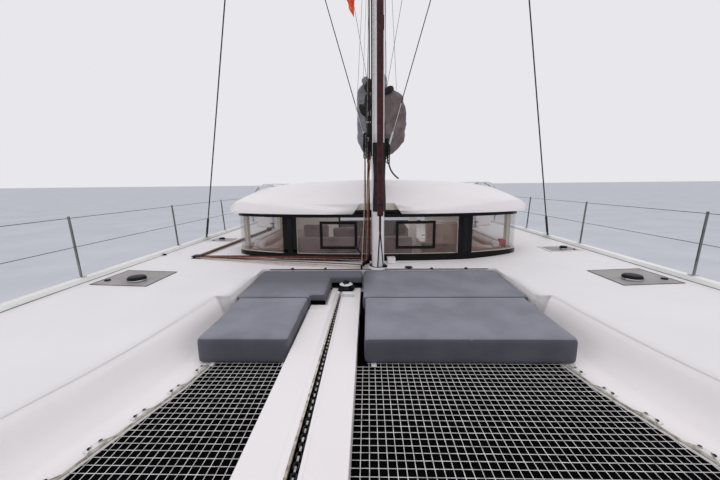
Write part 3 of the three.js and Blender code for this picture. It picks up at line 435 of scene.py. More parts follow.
# Columns: y, length, height
PORTLIGHTS = ((-3.1, 0.55, 1.08), (-1.35, 0.9, 1.06), (0.75, 0.9, 1.05), (2.35, 0.8, 1.05))
PORTLIGHT_DEEP = 0.17
PORTLIGHT_THICK = 0.005
PORTLIGHT_START = 3.7  # x outside the hulls, from where each is pressed inwards onto the side
for side, sign in SIDES:
    hull = dressed(f"hull_{side}", "root", "gelcoat", hull_finish, nonskid, rail_painted_light_gelcoat,
                   bevel=0.006, angle=28, first=round_crease)
    paint_faces(hull, 1, lambda middle, normal: normal.z > LEVEL and middle.z > DECK_LOW)
    # The toe rail's sides get the painted light
    paint_faces(hull, 2, lambda middle, normal: normal.z < 0.99 and RAIL_Z[0] < middle.z < RAIL_Z[1]
                and abs(middle.x) > RAIL_IN and middle.y < RAIL_END)
    # A thin dark line of painted shadow along the toe rail's foot
    foot = [(sign * x, y, deck_z(x) + 0.002) for y, x in RAIL_FOOT]
    shadow_line = bent_line(foot, SHADOW_LINE_WIDE, "VECTOR", steps=1)
    assembled(f"toe_rail_foot_shadow_{side}", [shadow_line], "root", "black_frame", foot_shadow_line)
    for number, (y, length, z) in enumerate(PORTLIGHTS, 1):
        deselect()
        bpy.ops.mesh.primitive_grid_add(x_subdivisions=24, y_subdivisions=6, size=1,
                                        location=(sign * PORTLIGHT_START, y, z),
                                        rotation=(math.radians(90), 0, math.radians(90)))
        light = bpy.context.object
        light.name = f"portlight_{side}_{number}"
        light.scale = (length, PORTLIGHT_DEEP, 1)
        bpy.ops.object.transform_apply(location=True, rotation=True, scale=True)
        apply_modifier(light, "SHRINKWRAP", target=hull, wrap_method="PROJECT", use_project_x=True,
                       use_negative_direction=True, use_positive_direction=True, offset=0.001)
        apply_modifier(light, "SOLIDIFY", thickness=PORTLIGHT_THICK, offset=0)
        bpy.ops.object.shade_smooth_by_angle(angle=math.radians(40))
        settle(light, "root", "window_glass", black_acrylic)

CLEATS = ((2.95, -4.75, 0.10), (3.27, 4.55, -0.06))  # x, y, turn
HORNS = ((-0.11, 0.052), (-0.05, 0.045), (0, 0.044), (0.05, 0.045), (0.11, 0.052))  # y, height
horns = bent_line([(0, y, z) for y, z in HORNS], 0.011)
feet = [drum((0, y, 0.022), 0.013, 0.044, 0.003) for y in (-0.032, 0.032)]
cleat = joined("cleat", [horns, *feet, block((-0.022, -0.065, 0.0), (0.022, 0.065, 0.006), 0.002)])
places = [((sign * x, y, deck_z(x) + 0.001), sign * turn) for x, y, turn in CLEATS for side, sign in SIDES]
assembled("mooring_cleats", copied(cleat, places), "root", "stainless_steel", stainless)
# Columns: x, half width, y, y, z, z of the upright plate and of its foot
PLATES = ((3.425, 0.004, 1.57, 1.65, 1.60, 1.66), (3.40, 0.03, 1.52, 1.70, 1.618, 1.624))
plates = [block((sign * x - half, y0, z0), (sign * x + half, y1, z1), 0.002)
          for x, half, y0, y1, z0, z1 in PLATES for side, sign in SIDES]
assembled("chainplates", plates, "root", "stainless_steel", stainless)
# Foamed rubber deck covering, cut to the treads: pale grey and matt, with rounded corners
tread_rubber = mottled("foamed_tread_rubber", "#8b8d90", "#97999c", 0.2, 0.003, 0.0005, Roughness=0.95)[0]
TREAD_X, TREAD_HALF, TREAD_THICK = 2.68, 0.42, 0.006
# Columns: y, y, height of each step
TREADS = ((5.03, 5.19, 1.24), (5.23, 5.39, 1.01), (5.43, 5.59, 0.78), (5.62, 5.75, 0.55), (5.78, 5.95, 0.33))
for side, sign in SIDES:
    pads = [block((sign * TREAD_X - TREAD_HALF, y0, z + 0.0005),
                  (sign * TREAD_X + TREAD_HALF, y1, z + TREAD_THICK), 0.002) for y0, y1, z in TREADS]
    assembled(f"tread_pads_{side}", pads, "root", "grey_hatch", tread_rubber)

# Keels, rudders, saildrives and propellers
# Low fixed keels and spade rudders of glass fibre carry the same antifouling. The saildrive legs
# are cast aluminium with a primer coat, and each turns a three-bladed propeller of cast bronze.
# Antifouling, rolled on: matt and dark, with the roller's texture
antifouling = mottled("rolled_antifouling", "#282c34", "#343841", 0.4, 0.006, 0.0006, Roughness=0.82)[0]
# Cast bronze, ground and polished by hand, and darkened by the sea
bronze = mottled("cast_bronze", "#80633c", "#a88754", 0.05, 0.003, 0.0002, Metallic=1.0, Roughness=0.38)[0]
# Primed casting: grey-black, matt, with the skin of the sand mould under the primer
primed_casting = mottled("primed_casting", "#3a3d42", "#45484e", 0.15, 0.003, 0.0003, Roughness=0.55)[0]
for side, sign in SIDES:
    dressed(f"keel_{side}", "root", "antifouling", antifouling, angle=40)
    dressed(f"rudder_{side}", f"rudder_{side}", "antifouling", antifouling, angle=40)
    dressed(f"saildrive_{side}", "root", "antifouling", primed_casting, angle=40)
    dressed(f"propeller_{side}", f"propeller_{side}", "bronze", bronze, angle=50)

# Bridge deck
# The deck between the hulls is moulded in one with the recess before the mast. A shock cord with
# hooks runs behind the recess to hold the cushions, and a flush vent and a moulded box lie beside
# the mast.
RECESS_AFT = -0.50
# Gelcoat in the chain's slot: scratched and stained brown by the chain on the walls, and black on the floor
# with dirt and painted shade
rusty_gelcoat = mottled("rust_stained_gelcoat", "#8a7d6e", "#d8d0c4", 0.04, 0.006, 0.0008, Roughness=0.8)[0]
slot_dirt_and_shade = mottled("dirt_and_painted_shade_in_the_slot", "#080706", "#1c1814", 0.03, 0.006, 0.001,
                    Roughness=0.95, Specular_IOR_Level=0.1)[0]
HOOK_LINE_Y = -0.522
HOOK_LINE_X = 1.5
HOOK_HALF = 0.017
CUSHION_HOOKS = (-1.19, -0.731, 0.737, 1.206)
bridge_deck = dressed("bridge_deck", "root", "gelcoat", gelcoat, nonskid, rusty_gelcoat, slot_dirt_and_shade,
                      bevel=0.008)
paint_faces(bridge_deck, 1, lambda middle, normal: normal.z > LEVEL and middle.z > DECK_LOW)
hooks = [block((x - HOOK_HALF, HOOK_LINE_Y, DECK_Z + 0.001),
               (x + HOOK_HALF, RECESS_AFT + 0.020, DECK_Z + 0.016), 0.004) for x in CUSHION_HOOKS]
hooks.append(taut_line((-HOOK_LINE_X, HOOK_LINE_Y, DECK_Z + 0.003),
                       (HOOK_LINE_X, HOOK_LINE_Y, DECK_Z + 0.003), 0.006))
assembled("cushion_hooks", hooks, "root", "black_frame", black_plastic)
vent = drum((0.429, -0.435, DECK_Z + 0.007), 0.055, 0.012, 0.004)
assembled("flush_vent", [vent], "root", "black_frame", black_plastic)
PLUG_X = 3.385
plug = drum((-PLUG_X, 0.137, deck_z(PLUG_X) + 0.012), 0.026, 0.022, 0.006)
assembled("side_deck_plug", [plug], "root", "black_frame", black_plastic)
box = [block((0.150, -0.215, DECK_Z + 0.001), (0.262, -0.030, DECK_Z + 0.060), 0.012),
       block((0.145, -0.222, DECK_Z + 0.062), (0.267, -0.030, DECK_Z + 0.076), 0.006)]
assembled("moulded_box", box, "root", "gelcoat", gelcoat)

# Crossbeam and longeron
# A round aluminium beam joins the bows under its striker. A moulded longeron runs to it from the
# recess, with an open slot for the anchor chain, which has stained the slot's sides brown. A
# moulded lip is bonded over each edge of the slot.
SLOT_X = (-0.528, -0.452)
STRIP_Z = 1.330
STRIP_END = -1.06
SLOT_DEEP = 0.062
# Anodised aluminium, drawn: satin, pale silver with a faint grain
anodised = mottled("satin_anodised_aluminium", "#dfe0e1", "#ebecec", 0.5, 0.0015, 0.00004,
                   Metallic=0.3, Roughness=0.42)[0]
dressed("crossbeam", "root", "anodised_aluminium", anodised, angle=40)
longeron = dressed("longeron", "root", "gelcoat", gelcoat, rusty_gelcoat, slot_dirt_and_shade, bevel=0.008)
LIP_THICK = 0.003
LIP_Y = (-5.15, STRIP_END - 0.003)
LIP_TURN = -0.0108  # radians that the starboard lip runs off the boat's middle line
# Columns: name, outer and inner edge at the lip's middle, how deep it reaches into the slot, turn, finish
LIPS = (("slot_lip_starboard", -0.562, -0.522, 0, LIP_TURN, gelcoat),
        ("slot_lip_edge_starboard", -0.5215, -0.508, 0, LIP_TURN, rusty_gelcoat),
        ("slot_lip_port", -0.440, -0.463, 0.045, 0, gelcoat))
for moulding in (bridge_deck, longeron):
    floor_paint = len(moulding.data.materials) - 1
    for index, low_up, high_up in ((floor_paint - 1, -0.9, 0.9), (floor_paint, 0.9, 1.1)):
        paint_faces(moulding, index, lambda middle, normal: SLOT_X[0] - 0.002 < middle.x < SLOT_X[1] + 0.002
                    and STRIP_Z - SLOT_DEEP < middle.z < STRIP_Z - 0.004 and middle.y < STRIP_END + 0.01
                    and low_up < normal.z < high_up)
for name, outer, inner, deep, turn, finish in LIPS:
    low_x, high_x = sorted((outer, inner))
    lip = [block((low_x, LIP_Y[0], STRIP_Z + 0.0003), (high_x, LIP_Y[1], STRIP_Z + LIP_THICK), 0.001,
                 (0, 0, turn))]
    if deep:
        lip.append(block((inner, LIP_Y[0], STRIP_Z - deep), (SLOT_X[1], LIP_Y[1], STRIP_Z + 0.002), 0.001))
    assembled(name, lip, "root", "gelcoat", finish)

# Ground tackle
# A galvanised chain runs in the slot from the stainless anchor on its roller to the windlass at the
# aft end of the raised strip. The windlass has a black base, a galvanised gypsy and a white lid.
LINK_PITCH = 0.031
LINK_WIRE = 0.0054
LINK_RING = 0.0135  # radius of the link's round ends, to the middle of its wire
LINK_STRETCH = 0.0075  # half of the straight between the ends
CHAIN_SIDE = -0.010  # where the chain lies across the slot at its fore end
CHAIN_DRIFT = 0.019  # and how much nearer the port lip at its aft end
LINK_LEAN = 8  # degrees that the links lie off the square
WINDLASS = Vector((-0.42, -0.905, STRIP_Z))
# Hot-dip galvanised steel, black with wet dirt and with painted shade
galvanised_dirt_and_shade = mottled("galvanised_steel_dirt_and_painted_shade", "#030303", "#2c2d2e", 0.022, 0.002, 0.0002,
                     Roughness=0.35, Specular_IOR_Level=0.5)[0]
# The same steel on the standing links' tops, painted bright: a painted highlight
painted_glint_zinc = mottled("painted_glint_zinc", "#a9aaab", "#e6e7e8", 0.03, 0.002, 0.0001, Roughness=0.35)[0]
# Thermoplastic, moulded: white and half glossy
white_plastic = mottled("moulded_white_plastic", "#dcdddb", "#e6e6e4", 0.2, 0.002, 0.00008, Roughness=0.4)[0]
dressed("bow_roller", "root", "stainless_steel", stainless, bevel=0.002)
dressed("anchor", "root", "stainless_steel", stainless, bevel=0.004, angle=40)
chain_low, chain_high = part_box("anchor_chain")
chain_x = (chain_low.x + chain_high.x) / 2
chain_z = chain_low.z + LINK_RING + LINK_WIRE
deselect()
bpy.ops.mesh.primitive_torus_add(major_segments=12, minor_segments=5, major_radius=LINK_RING,
                                 minor_radius=LINK_WIRE)
link = bpy.context.object
for point in link.data.vertices:
    point.co.y += math.copysign(LINK_STRETCH, point.co.y)
count = int((chain_high.y - chain_low.y) / LINK_PITCH)
run = [Vector((chain_x + CHAIN_SIDE + CHAIN_DRIFT * k / count, chain_low.y + 0.02 + k * LINK_PITCH, chain_z))
       for k in range(count)]
slot_end = Vector((chain_x + CHAIN_DRIFT, -1.03, STRIP_Z + 0.004))
way_up = [run[-1], slot_end, WINDLASS + Vector((-0.066, -0.02, 0.040))]
for start, end in zip(way_up, way_up[1:]):
    run += [start.lerp(end, (k + 1) * LINK_PITCH / (end - start).length)
            for k in range(int((end - start).length / LINK_PITCH))]
chain = []
for number, middle in enumerate(run):
    along = run[min(number + 1, len(run) - 1)] - run[max(number - 1, 0)]
    piece = link.copy()
    piece.data = link.data.copy()
    bpy.context.collection.objects.link(piece)
    lean = Matrix.Rotation(math.radians(90 * (number % 2) + LINK_LEAN), 4, "Y")
    heading = along.to_track_quat("Y", "Z").to_matrix().to_4x4()
    piece.matrix_world = Matrix.Translation(middle) @ heading @ lean
    chain.append(piece)
bpy.data.objects.remove(link)
chain = assembled("anchor_chain_links", chain, "root", "stainless_steel", galvanised_dirt_and_shade, angle=60)
chain.data.materials.append(painted_glint_zinc)
# The standing links' tops get the painted highlight
paint_faces(chain, 1, lambda middle, normal: middle.z > chain_z + LINK_RING - 0.0005
            and middle.y < STRIP_END - 0.02)
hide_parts("anchor_chain")
windlass = dressed("windlass", "root", "stainless_steel", black_plastic, galvanised_dirt_and_shade, white_plastic,
                   bevel=0.003, angle=40)
paint_faces(windlass, 1, lambda middle, normal: middle.z > STRIP_Z + 0.017)
paint_faces(windlass, 2, lambda middle, normal: middle.z > STRIP_Z + 0.055)
fittings = [drum(WINDLASS + Vector((0.0, 0.012, 0.090)), 0.044, 0.028, 0.010),
            drum(WINDLASS + Vector((-0.012, -0.058, 0.0785)), 0.009, 0.006, 0.002),
            block(WINDLASS + Vector((0.06, -0.075, 0.0165)), WINDLASS + Vector((0.110, 0.02, 0.05)), 0.006),
            block(WINDLASS + Vector((-0.09, -0.095, 0.001)), WINDLASS + Vector((0.09, -0.065, 0.018)), 0.004)]
assembled("windlass_fittings", fittings, "root", "black_frame", black_plastic)
lid = [block((-0.435, -1.205, STRIP_Z + 0.001), (-0.318, -1.135, STRIP_Z + 0.034), 0.006),
       block((-0.440, -1.210, STRIP_Z + 0.035), (-0.313, -1.130, STRIP_Z + 0.041), 0.002)]
assembled("strip_box", lid, "root", "gelcoat", white_plastic)

# Trampolines
# Each net is knotted polyester cord in 50 mm squares, bound with an edge rope, laced to eyes in the hulls
# and tied to the recess with white webbing. Under the cords lies a black sheet of painted shade. Strips of
# the same painted shade lie under the port cushions' inner edge and fill the gaps round the windlass.
NET_ROWS = 0.050
NET_COLUMNS = 0.048
CORD_WIDTH = 0.0046
EDGE_ROPE = 0.007
NET_TOP = 1.200
NET_BOTTOM = 1.188
LACING_STEP = 0.26
LACING_FIRST = -2.53
LACING_LAST = -5.2
EYE_OUT = 0.055  # from the net's edge out to the middle of each eye's pad
ROPE_OUT = 0.012  # from the net's edge out to the edge rope
ROPE_AFT = -1.7  # y where the edge rope ends, under the cushions
TIE_HALF = 0.022  # half the webbing's width
TIE_Y = (0.86, 0.80)  # the webbing, fore of the net's aft edge
WEBBING = {"port": (-0.094, 1.49), "starboard": (-0.825, -1.424)}
SHADE_STRIP_EDGES = (-0.2305, -0.150)  # x


def outline_of(node):
    """The outer edge of a net's panel, as (y, x) pairs from fore to aft."""
    points = {(round(v.co.y, 4), round(v.co.x, 4)) for v in frame["nodes"][node].data.vertices}
    ys = sorted({y for y, x in points})
    return [(y, max((x for yy, x in points if yy == y), key=abs)) for y in ys]


def edge_at(outline, y):
    for (y0, x0), (y1, x1) in zip(outline, outline[1:]):
        if y0 <= y <= y1:
            return x0 + (x1 - x0) * (y - y0) / (y1 - y0)
    return outline[-1][1]


# Braided polyester cord, once white: pale, with grey dirt, and a braid too fine to see
net_cord = mottled("braided_polyester_cord", "#bdbcb9", "#efeeeb", 0.05, 0.003, 0.0006, Roughness=0.9)[0]
# A black sheet under the cords: painted shade, black and matt
black_shade_sheet = mottled("painted_shade_black_sheet", "#020203", "#050506", 0.15, 0.004, 0.0008,
                     Roughness=1.0, Specular_IOR_Level=0.05)[0]
# Laid polyester rope, grey-beige with dirt
edge_rope = mottled("laid_polyester_rope", "#8d887b", "#cfcabd", 0.04, 0.008, 0.002, Roughness=0.9)[0]
for side, sign in SIDES:
    node = f"trampoline_{side}"
    low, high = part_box(node)
    outline = outline_of(node)
    inner = low.x if sign > 0 else high.x
    z = NET_TOP - CORD_WIDTH / 2
    cords = []
    for k in range(1, int((high.y - low.y) / NET_ROWS)):
        y = high.y - k * NET_ROWS
        cords.append(taut_line((inner, y, z), (edge_at(outline, y), y, z), CORD_WIDTH / 2, 4))
    tries = [low.y + n * NET_ROWS / 4 for n in range(int(4 * (high.y - low.y) / NET_ROWS))]
    for k in range(1, int((high.x - low.x) / NET_COLUMNS)):
        x = inner + sign * k * NET_COLUMNS
        reach = [y for y in tries if edge_at(outline, y) * sign > x * sign]
        if reach:
            cords.append(taut_line((x, low.y, z), (x, max(reach), z), CORD_WIDTH / 2, 4))
    net = joined(f"net_{side}", cords)
    settle(net, "root", "net_cord", net_cord)
    # The net's panel, flattened and black: painted shade under the cords
    mesh = own_copy(node, f"net_shade_sheet_{side}")
    bpy.ops.object.mode_set(mode="EDIT")
    bpy.ops.mesh.select_all(action="SELECT")
    bpy.ops.transform.resize(value=(1, 1, 0.2), center_override=(0, 0, NET_BOTTOM))
    bpy.ops.object.mode_set(mode="OBJECT")
    settle(mesh, "root", "net_cord", black_shade_sheet)
    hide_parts(node)

    rope_z = NET_TOP + EDGE_ROPE
    edge = [(x + sign * ROPE_OUT, y, rope_z) for y, x in outline if y < ROPE_AFT]
    ropes = [bent_line(edge, EDGE_ROPE, "VECTOR", steps=1)]
    pads, bolts = [], []
    rows = int((LACING_FIRST - LACING_LAST) / LACING_STEP) + 1
    for y in (LACING_FIRST - k * LACING_STEP for k in range(rows)):
        ahead, behind = edge_at(outline, y - 0.05), edge_at(outline, y + 0.05)
        turn = math.atan2(ahead - behind, 0.1)
        x = edge_at(outline, y) + sign * EYE_OUT
        pads.append(block((x - 0.02, y - 0.055, NET_TOP + 0.0005), (x + 0.02, y + 0.055, NET_TOP + 0.010),
                          0.004, (0, 0, turn)))
        for step in (-0.03, 0.03):
            bolts.append(drum((x + turn * -step, y + step, NET_TOP + 0.012), 0.010, 0.010, 0.003, sides=10))
            ropes.append(taut_line((x - turn * step, y + step * 0.5, NET_TOP + 0.014),
                                   (edge_at(outline, y + 3 * step), y + 3 * step, rope_z), 0.004, 6))
    assembled(f"net_edge_{side}", ropes, "root", "net_cord", edge_rope, angle=60)
    assembled(f"lacing_pads_{side}", pads, "root", "gelcoat", white_plastic)
    assembled(f"lacing_bolts_{side}", bolts, "root", "black_frame", black_plastic)
    ties = [block((x - TIE_HALF, high.y - TIE_Y[0], NET_TOP + 0.001),
                  (x + TIE_HALF, high.y - TIE_Y[1], NET_TOP + 0.009), 0.003) for x in WEBBING[side]]
    assembled(f"net_ties_{side}", ties, "root", "net_cord", white_plastic)
# Black strips of painted shade: under the port cushions' inner edge, then at the gaps round the windlass
shade_strips = [block((SHADE_STRIP_EDGES[0], -2.47, NET_TOP + 0.0005), (SHADE_STRIP_EDGES[1], -1.64, NET_TOP + 0.003), 0.001),
       block((SHADE_STRIP_EDGES[0], -1.650, NET_TOP + 0.004), (SHADE_STRIP_EDGES[1], -1.634, 1.284), 0.001),
       block((SHADE_STRIP_EDGES[0], -1.633, 1.2805), (SHADE_STRIP_EDGES[1], -0.87, 1.284), 0.001)]
shade_strips += [block((-0.612, -0.816, STRIP_Z + 0.0005), (-0.2135, -0.8065, STRIP_Z + 0.056), 0.003),
        block((-0.7815, -1.447, STRIP_Z + 0.0005), (-0.6145, -1.4375, STRIP_Z + 0.045), 0.003)]
assembled("cushion_shade_strips", shade_strips, "root", "net_cord", black_shade_sheet)

# Sun cushions
# Foam pads in zipped covers of woven acrylic, pale on top, with the sides painted darker as shade, and with
# soft, rounded edges. Two lie on the nets and two in the recess, one cut round the windlass.
CUSHION_GRAIN = 0.016
CUSHION_SWELL = 0.008
CUSHION_SMALLER = 0.002
CUSHION_SOFT = 14  # rounds of smoothing, which give edges of about 35 mm radius
CUSHION_SEAM_Y = -1.51  # where the fore and aft pads are pressed together, square-edged
CLOTH_STEPS = 20
# Woven solution-dyed acrylic: matt, with a plain weave of 0.6 mm threads drawn at 3 mm so that it shows
cushion_top, shader, tone = mottled("woven_acrylic_top", "#7c7d87", "#8c8d97", 0.35, 0.003, 0.0006,
                                    Roughness=0.95, Specular_IOR_Level=0.15, Sheen_Weight=0.15)
# Painted shade: darker towards the cabin, most of all on the starboard side
place = add_node(cushion_top, "ShaderNodeTexCoord").outputs["Object"]
across, along, up = add_node(cushion_top, "ShaderNodeSeparateXYZ", {"Vector": place}).outputs
shade_along = add_node(cushion_top, "ShaderNodeMapRange", {"Value": along, "From Min": -1.55, "From Max": -1.0})
shade_across = add_node(cushion_top, "ShaderNodeMapRange", {
    "Value": across, "From Min": -0.15, "From Max": 0.0, "To Min": 1.0, "To Max": 0.3})
shade_amount = add_node(cushion_top, "ShaderNodeMath", {
    0: shade_along.outputs["Result"], 1: shade_across.outputs["Result"]}, operation="MULTIPLY")
shaded_top_tone = add_node(cushion_top, "ShaderNodeMix", {
    "Factor": shade_amount.outputs["Value"], "A": tone.outputs["Result"], "B": colour("#60616a")}, data_type="RGBA")
cushion_top.node_tree.links.new(shaded_top_tone.outputs["Result"], shader.inputs["Base Color"])
# The same acrylic on the sides, painted darker as shade
cushion_shaded_side = mottled("woven_acrylic_painted_shade_side", "#54555d", "#606169", 0.35, 0.003, 0.0006,
                       Roughness=0.95, Specular_IOR_Level=0.15, Sheen_Weight=0.1)[0]
CUSHIONS = ("port_fore", "starboard_fore", "port_aft", "starboard_aft")


def stuffed(pad, grain, smaller, swell, soft=0, pressure=4.0):
    """A cushion of a solid's shape: drawn in, remeshed, softened, swelled as cloth and smoothed."""
    apply_modifier(pad, "DISPLACE", strength=-smaller, mid_level=0)
    apply_modifier(pad, "REMESH", mode="VOXEL", voxel_size=grain)
    if soft:
        free = pad.vertex_groups.new(name="free_edges")
        away = [point.index for point in pad.data.vertices if abs(point.co.y - CUSHION_SEAM_Y) > 1.6 * grain]
        free.add(away, 1, "ADD")
        apply_modifier(pad, "SMOOTH", factor=0.5, iterations=soft, vertex_group=free.name)
    rest = [point.co.copy() for point in pad.data.vertices]
    cloth = pad.modifiers.new("swelling", "CLOTH")
    cloth.settings.use_pressure = True
    cloth.settings.uniform_pressure_force = pressure
    cloth.settings.effector_weights.gravity = 0
    for step in range(1, CLOTH_STEPS + 1):
        bpy.context.scene.frame_set(step)
    bpy.context.view_layer.objects.active = pad
    bpy.ops.object.modifier_apply(modifier=cloth.name)
    for point, start in zip(pad.data.vertices, rest):
        move = point.co - start
        if move.length > swell:
            point.co = start + move.normalized() * swell
    bpy.context.scene.frame_set(1)
    apply_modifier(pad, "SUBSURF", levels=1, render_levels=1)
    bpy.ops.object.shade_smooth()
    return pad


for name in CUSHIONS:
    pad = stuffed(own_copy(f"cushion_{name}", f"sun_cushion_{name}"), CUSHION_GRAIN, CUSHION_SMALLER,
                  CUSHION_SWELL, CUSHION_SOFT)
    settle(pad, "root", "cushion_fabric", cushion_top, cushion_shaded_side)
    # Faces that turn away from the sky get the painted shade
    paint_faces(pad, 1, lambda middle, normal: normal.z < 0.5)
    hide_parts(f"cushion_{name}")

# Cabin and windows
# The cabin's outside is one dark band: walls faced with black acrylic and clear panes between them.
# Inside, the walls are lined with pale vinyl. Two of the panes open outwards as framed hatches.
CABIN_MIDDLE = Vector((0, 1.7, 1.6))
# Vinyl lining over foam: pale, matt and soft
lining = mottled("pale_vinyl_lining", "#d8d3cb", "#e2ddd5", 0.4, 0.002, 0.0002, Roughness=0.75)[0]
# Acrylic panes with a faint smoke tint: glossy, the saloon showing through
clear_acrylic = mottled("smoked_acrylic", "#8a8785", "#969391", 0.8, 0.3, 0.0002,
                        Roughness=0.04, Alpha=0.12)[0]
cabin = dressed("cabin", "root", "black_frame", black_acrylic, lining, bevel=0.003)
paint_faces(cabin, 1, lambda middle, normal: (middle - CABIN_MIDDLE).dot(normal) < 0)
paint_faces(cabin, 1, lambda middle, normal: normal.y < -0.9 and 0.7 < middle.y < 1.0)
for window in ("front_window", "corner_window", "side_window"):
    for side, sign in SIDES:
        dressed(f"{window}_{side}", "root", "window_glass", clear_acrylic)
dressed("aft_window", "root", "window_glass", clear_acrylic)

PILLAR_X = 1.345
PILLAR_HALF = 0.040
PILLAR_TURN = math.radians(9.15)
PILLAR_Y = 0.074
# Powder-coated aluminium strip on the pillars: dark grey and satin
grey_coat = mottled("powder_coated_strip", "#0b0c0c", "#121314", 0.3, 0.001, 0.00005,
                    Roughness=0.55, Specular_IOR_Level=0.2)[0]
strips = [block((sign * PILLAR_X - PILLAR_HALF, PILLAR_Y - 0.003, 1.60),
                (sign * PILLAR_X + PILLAR_HALF, PILLAR_Y + 0.003, 2.14), 0.002, (0, 0, sign * PILLAR_TURN))
          for side, sign in SIDES]
assembled("pillar_strips", strips, "root", "black_frame", grey_coat)
trim = block((-0.345, -0.012, 2.206), (0.345, 0.008, 2.262), 0.004)
assembled("notch_trim", [trim], "root", "black_frame", black_acrylic)

HATCH_FRAME = 0.042
for side, sign in SIDES:
    node = f"window_hatch_{side}"
    hatch = own_copy(node, f"{node}_dressed")
    for way in (-1, 1):
        select_faces(hatch, lambda middle, normal: normal.y * way > 0.8)
        bpy.ops.mesh.inset(thickness=HATCH_FRAME, depth=-0.003)
        bpy.ops.object.mode_set(mode="OBJECT")
    settle(hatch, node, "black_frame", black_plastic, clear_acrylic)
    low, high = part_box(node)
    inside = (low.x + HATCH_FRAME, high.x - HATCH_FRAME, low.z + HATCH_FRAME, high.z - HATCH_FRAME)
    paint_faces(hatch, 1, lambda middle, normal: abs(normal.y) > 0.8 and inside[0] < middle.x < inside[1]
                and inside[2] < middle.z < inside[3])
    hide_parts(node)
    front = max(point.co.y for point in hatch.data.vertices if point.co.z > low.z) + 0.001
    grips = [block((x - 0.05, front, low.z + 0.004), (x + 0.05, front + 0.016, low.z + 0.030), 0.006)
             for x in (low.x + 0.14, high.x - 0.14)]
    assembled(f"window_grips_{side}", grips, node, "black_frame", black_plastic)

DOOR_FRAME = 0.07
door = dressed("saloon_door", "saloon_door", "window_glass", grey_coat, clear_acrylic)
select_faces(door, lambda middle, normal: abs(normal.y) > 0.9)
bpy.ops.mesh.inset(thickness=DOOR_FRAME, depth=-0.004)
bpy.ops.object.mode_set(mode="OBJECT")
low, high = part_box("saloon_door")
inside = (low.x + DOOR_FRAME, high.x - DOOR_FRAME, low.z + DOOR_FRAME, high.z - DOOR_FRAME)
paint_faces(door, 1, lambda middle, normal: abs(normal.y) > 0.9 and inside[0] < middle.x < inside[1]
            and inside[2] < middle.z < inside[3])
PULL_X = -0.035
PULL = ((3.354, 1.45), (3.394, 1.47), (3.394, 1.73), (3.354, 1.75))  # y, height
pull = bent_line([(PULL_X, y, z) for y, z in PULL], 0.009)
assembled("door_pull", [pull], "saloon_door", "stainless_steel", stainless)

# Roof
# One moulded shell, sprayed white, crowned over the saloon and carried aft over the cockpit on two
# stainless posts. Its front edge is notched round the mast, and a handrail is bolted along each side.

# Unpolished gelcoat in the notch, where the water runs off: beige with dirt, and darker with painted shade
notch_stain_and_shade_gelcoat = mottled("stained_and_shaded_notch_gelcoat", "#b9b6a4", "#cfccbc", 0.12, 0.004, 0.0003, Roughness=0.7)[0]
NOTCH_HALF = 0.36
NOTCH_Y = (-0.06, 0.12)
NOTCH_FLOOR, NOTCH_TOP = 2.262, 2.40
roof = dressed("roof", "root", "gelcoat", gelcoat, notch_stain_and_shade_gelcoat, angle=50)
paint_faces(roof, 1, lambda middle, normal: abs(middle.x) < NOTCH_HALF and NOTCH_Y[0] < middle.y < NOTCH_Y[1]
            and middle.z < NOTCH_TOP and (abs(normal.z) < 0.2 or abs(middle.z - NOTCH_FLOOR) < 0.004))
for side, sign in SIDES:
    dressed(f"roof_post_{side}", "root", "stainless_steel", stainless, angle=40)
RAIL_X = 2.06
RAIL_FEET = (0.95, 1.75, 2.55, 3.35, 4.15)
for side, sign in SIDES:
    feet = []
    for y in RAIL_FEET:
        found = roof.ray_cast(Vector((sign * RAIL_X, y, 4.0)), Vector((0, 0, -1)))
        feet.append(found[1])
    bar = [feet[0] + Vector((0, -0.06, 0.0)), feet[0] + Vector((0, 0.02, 0.055))]
    bar += [foot + Vector((0, 0, 0.06)) for foot in feet[1:-1]]
    bar += [feet[-1] + Vector((0, -0.02, 0.055)), feet[-1] + Vector((0, 0.06, 0.0))]
    rails = [bent_line(bar, 0.0125)]
    rails += [drum(foot + Vector((0, 0, 0.028)), 0.012, 0.056, 0.002, sides=12) for foot in feet[1:-1]]
    rails += [drum(foot + Vector((0, 0, 0.004)), 0.028, 0.008, 0.002) for foot in feet[1:-1]]
    assembled(f"roof_handrail_{side}", rails, "root", "stainless_steel", stainless)

# Saloon and cockpit
# Upholstered settee and bench on moulded bases, and a table and galley of varnished wood with a
# pale worktop. Loose back cushions stand along the settee under the front panes.
SOLE_Z = 0.76
deselect()
bpy.ops.object.light_add(type="AREA", location=(0, 1.6, 2.42))
saloon_light = bpy.context.object
saloon_light.name = "saloon_light"
saloon_light.data.size = 2.4
saloon_light.data.energy = 18.0
# Woven upholstery: brownish grey-red and matt, with a 1 mm weave drawn at 4 mm
upholstery = mottled("woven_upholstery", "#7a6466", "#8f7879", 0.2, 0.004, 0.0005,
                     Roughness=0.95, Specular_IOR_Level=0.2, Sheen_Weight=0.2)[0]
# Wood veneer under varnish: warm brown, drawn along the grain, glossy
veneer = mottled("varnished_veneer", "#8a6a58", "#a5836c", 0.25, 0.003, 0.00005,
                 Roughness=0.3, Coat_Weight=0.4)[0]
# Solid-surface worktop, sanded: off-white and satin
worktop = mottled("sanded_worktop", "#c9c5be", "#d4d0c9", 0.05, 0.001, 0.00005, Roughness=0.35)[0]
for node in ("saloon_settee", "cockpit_bench"):
    seat = dressed(node, "root", "upholstery", upholstery, gelcoat, bevel=0.025)
    paint_faces(seat, 1, lambda middle, normal: middle.z < SOLE_Z + 0.25)
dressed("saloon_table", "root", "joinery_wood", veneer, bevel=0.006)
galley = dressed("galley", "root", "joinery_wood", veneer, worktop, bevel=0.006)
paint_faces(galley, 1, lambda middle, normal: middle.z > SOLE_Z + 0.895)
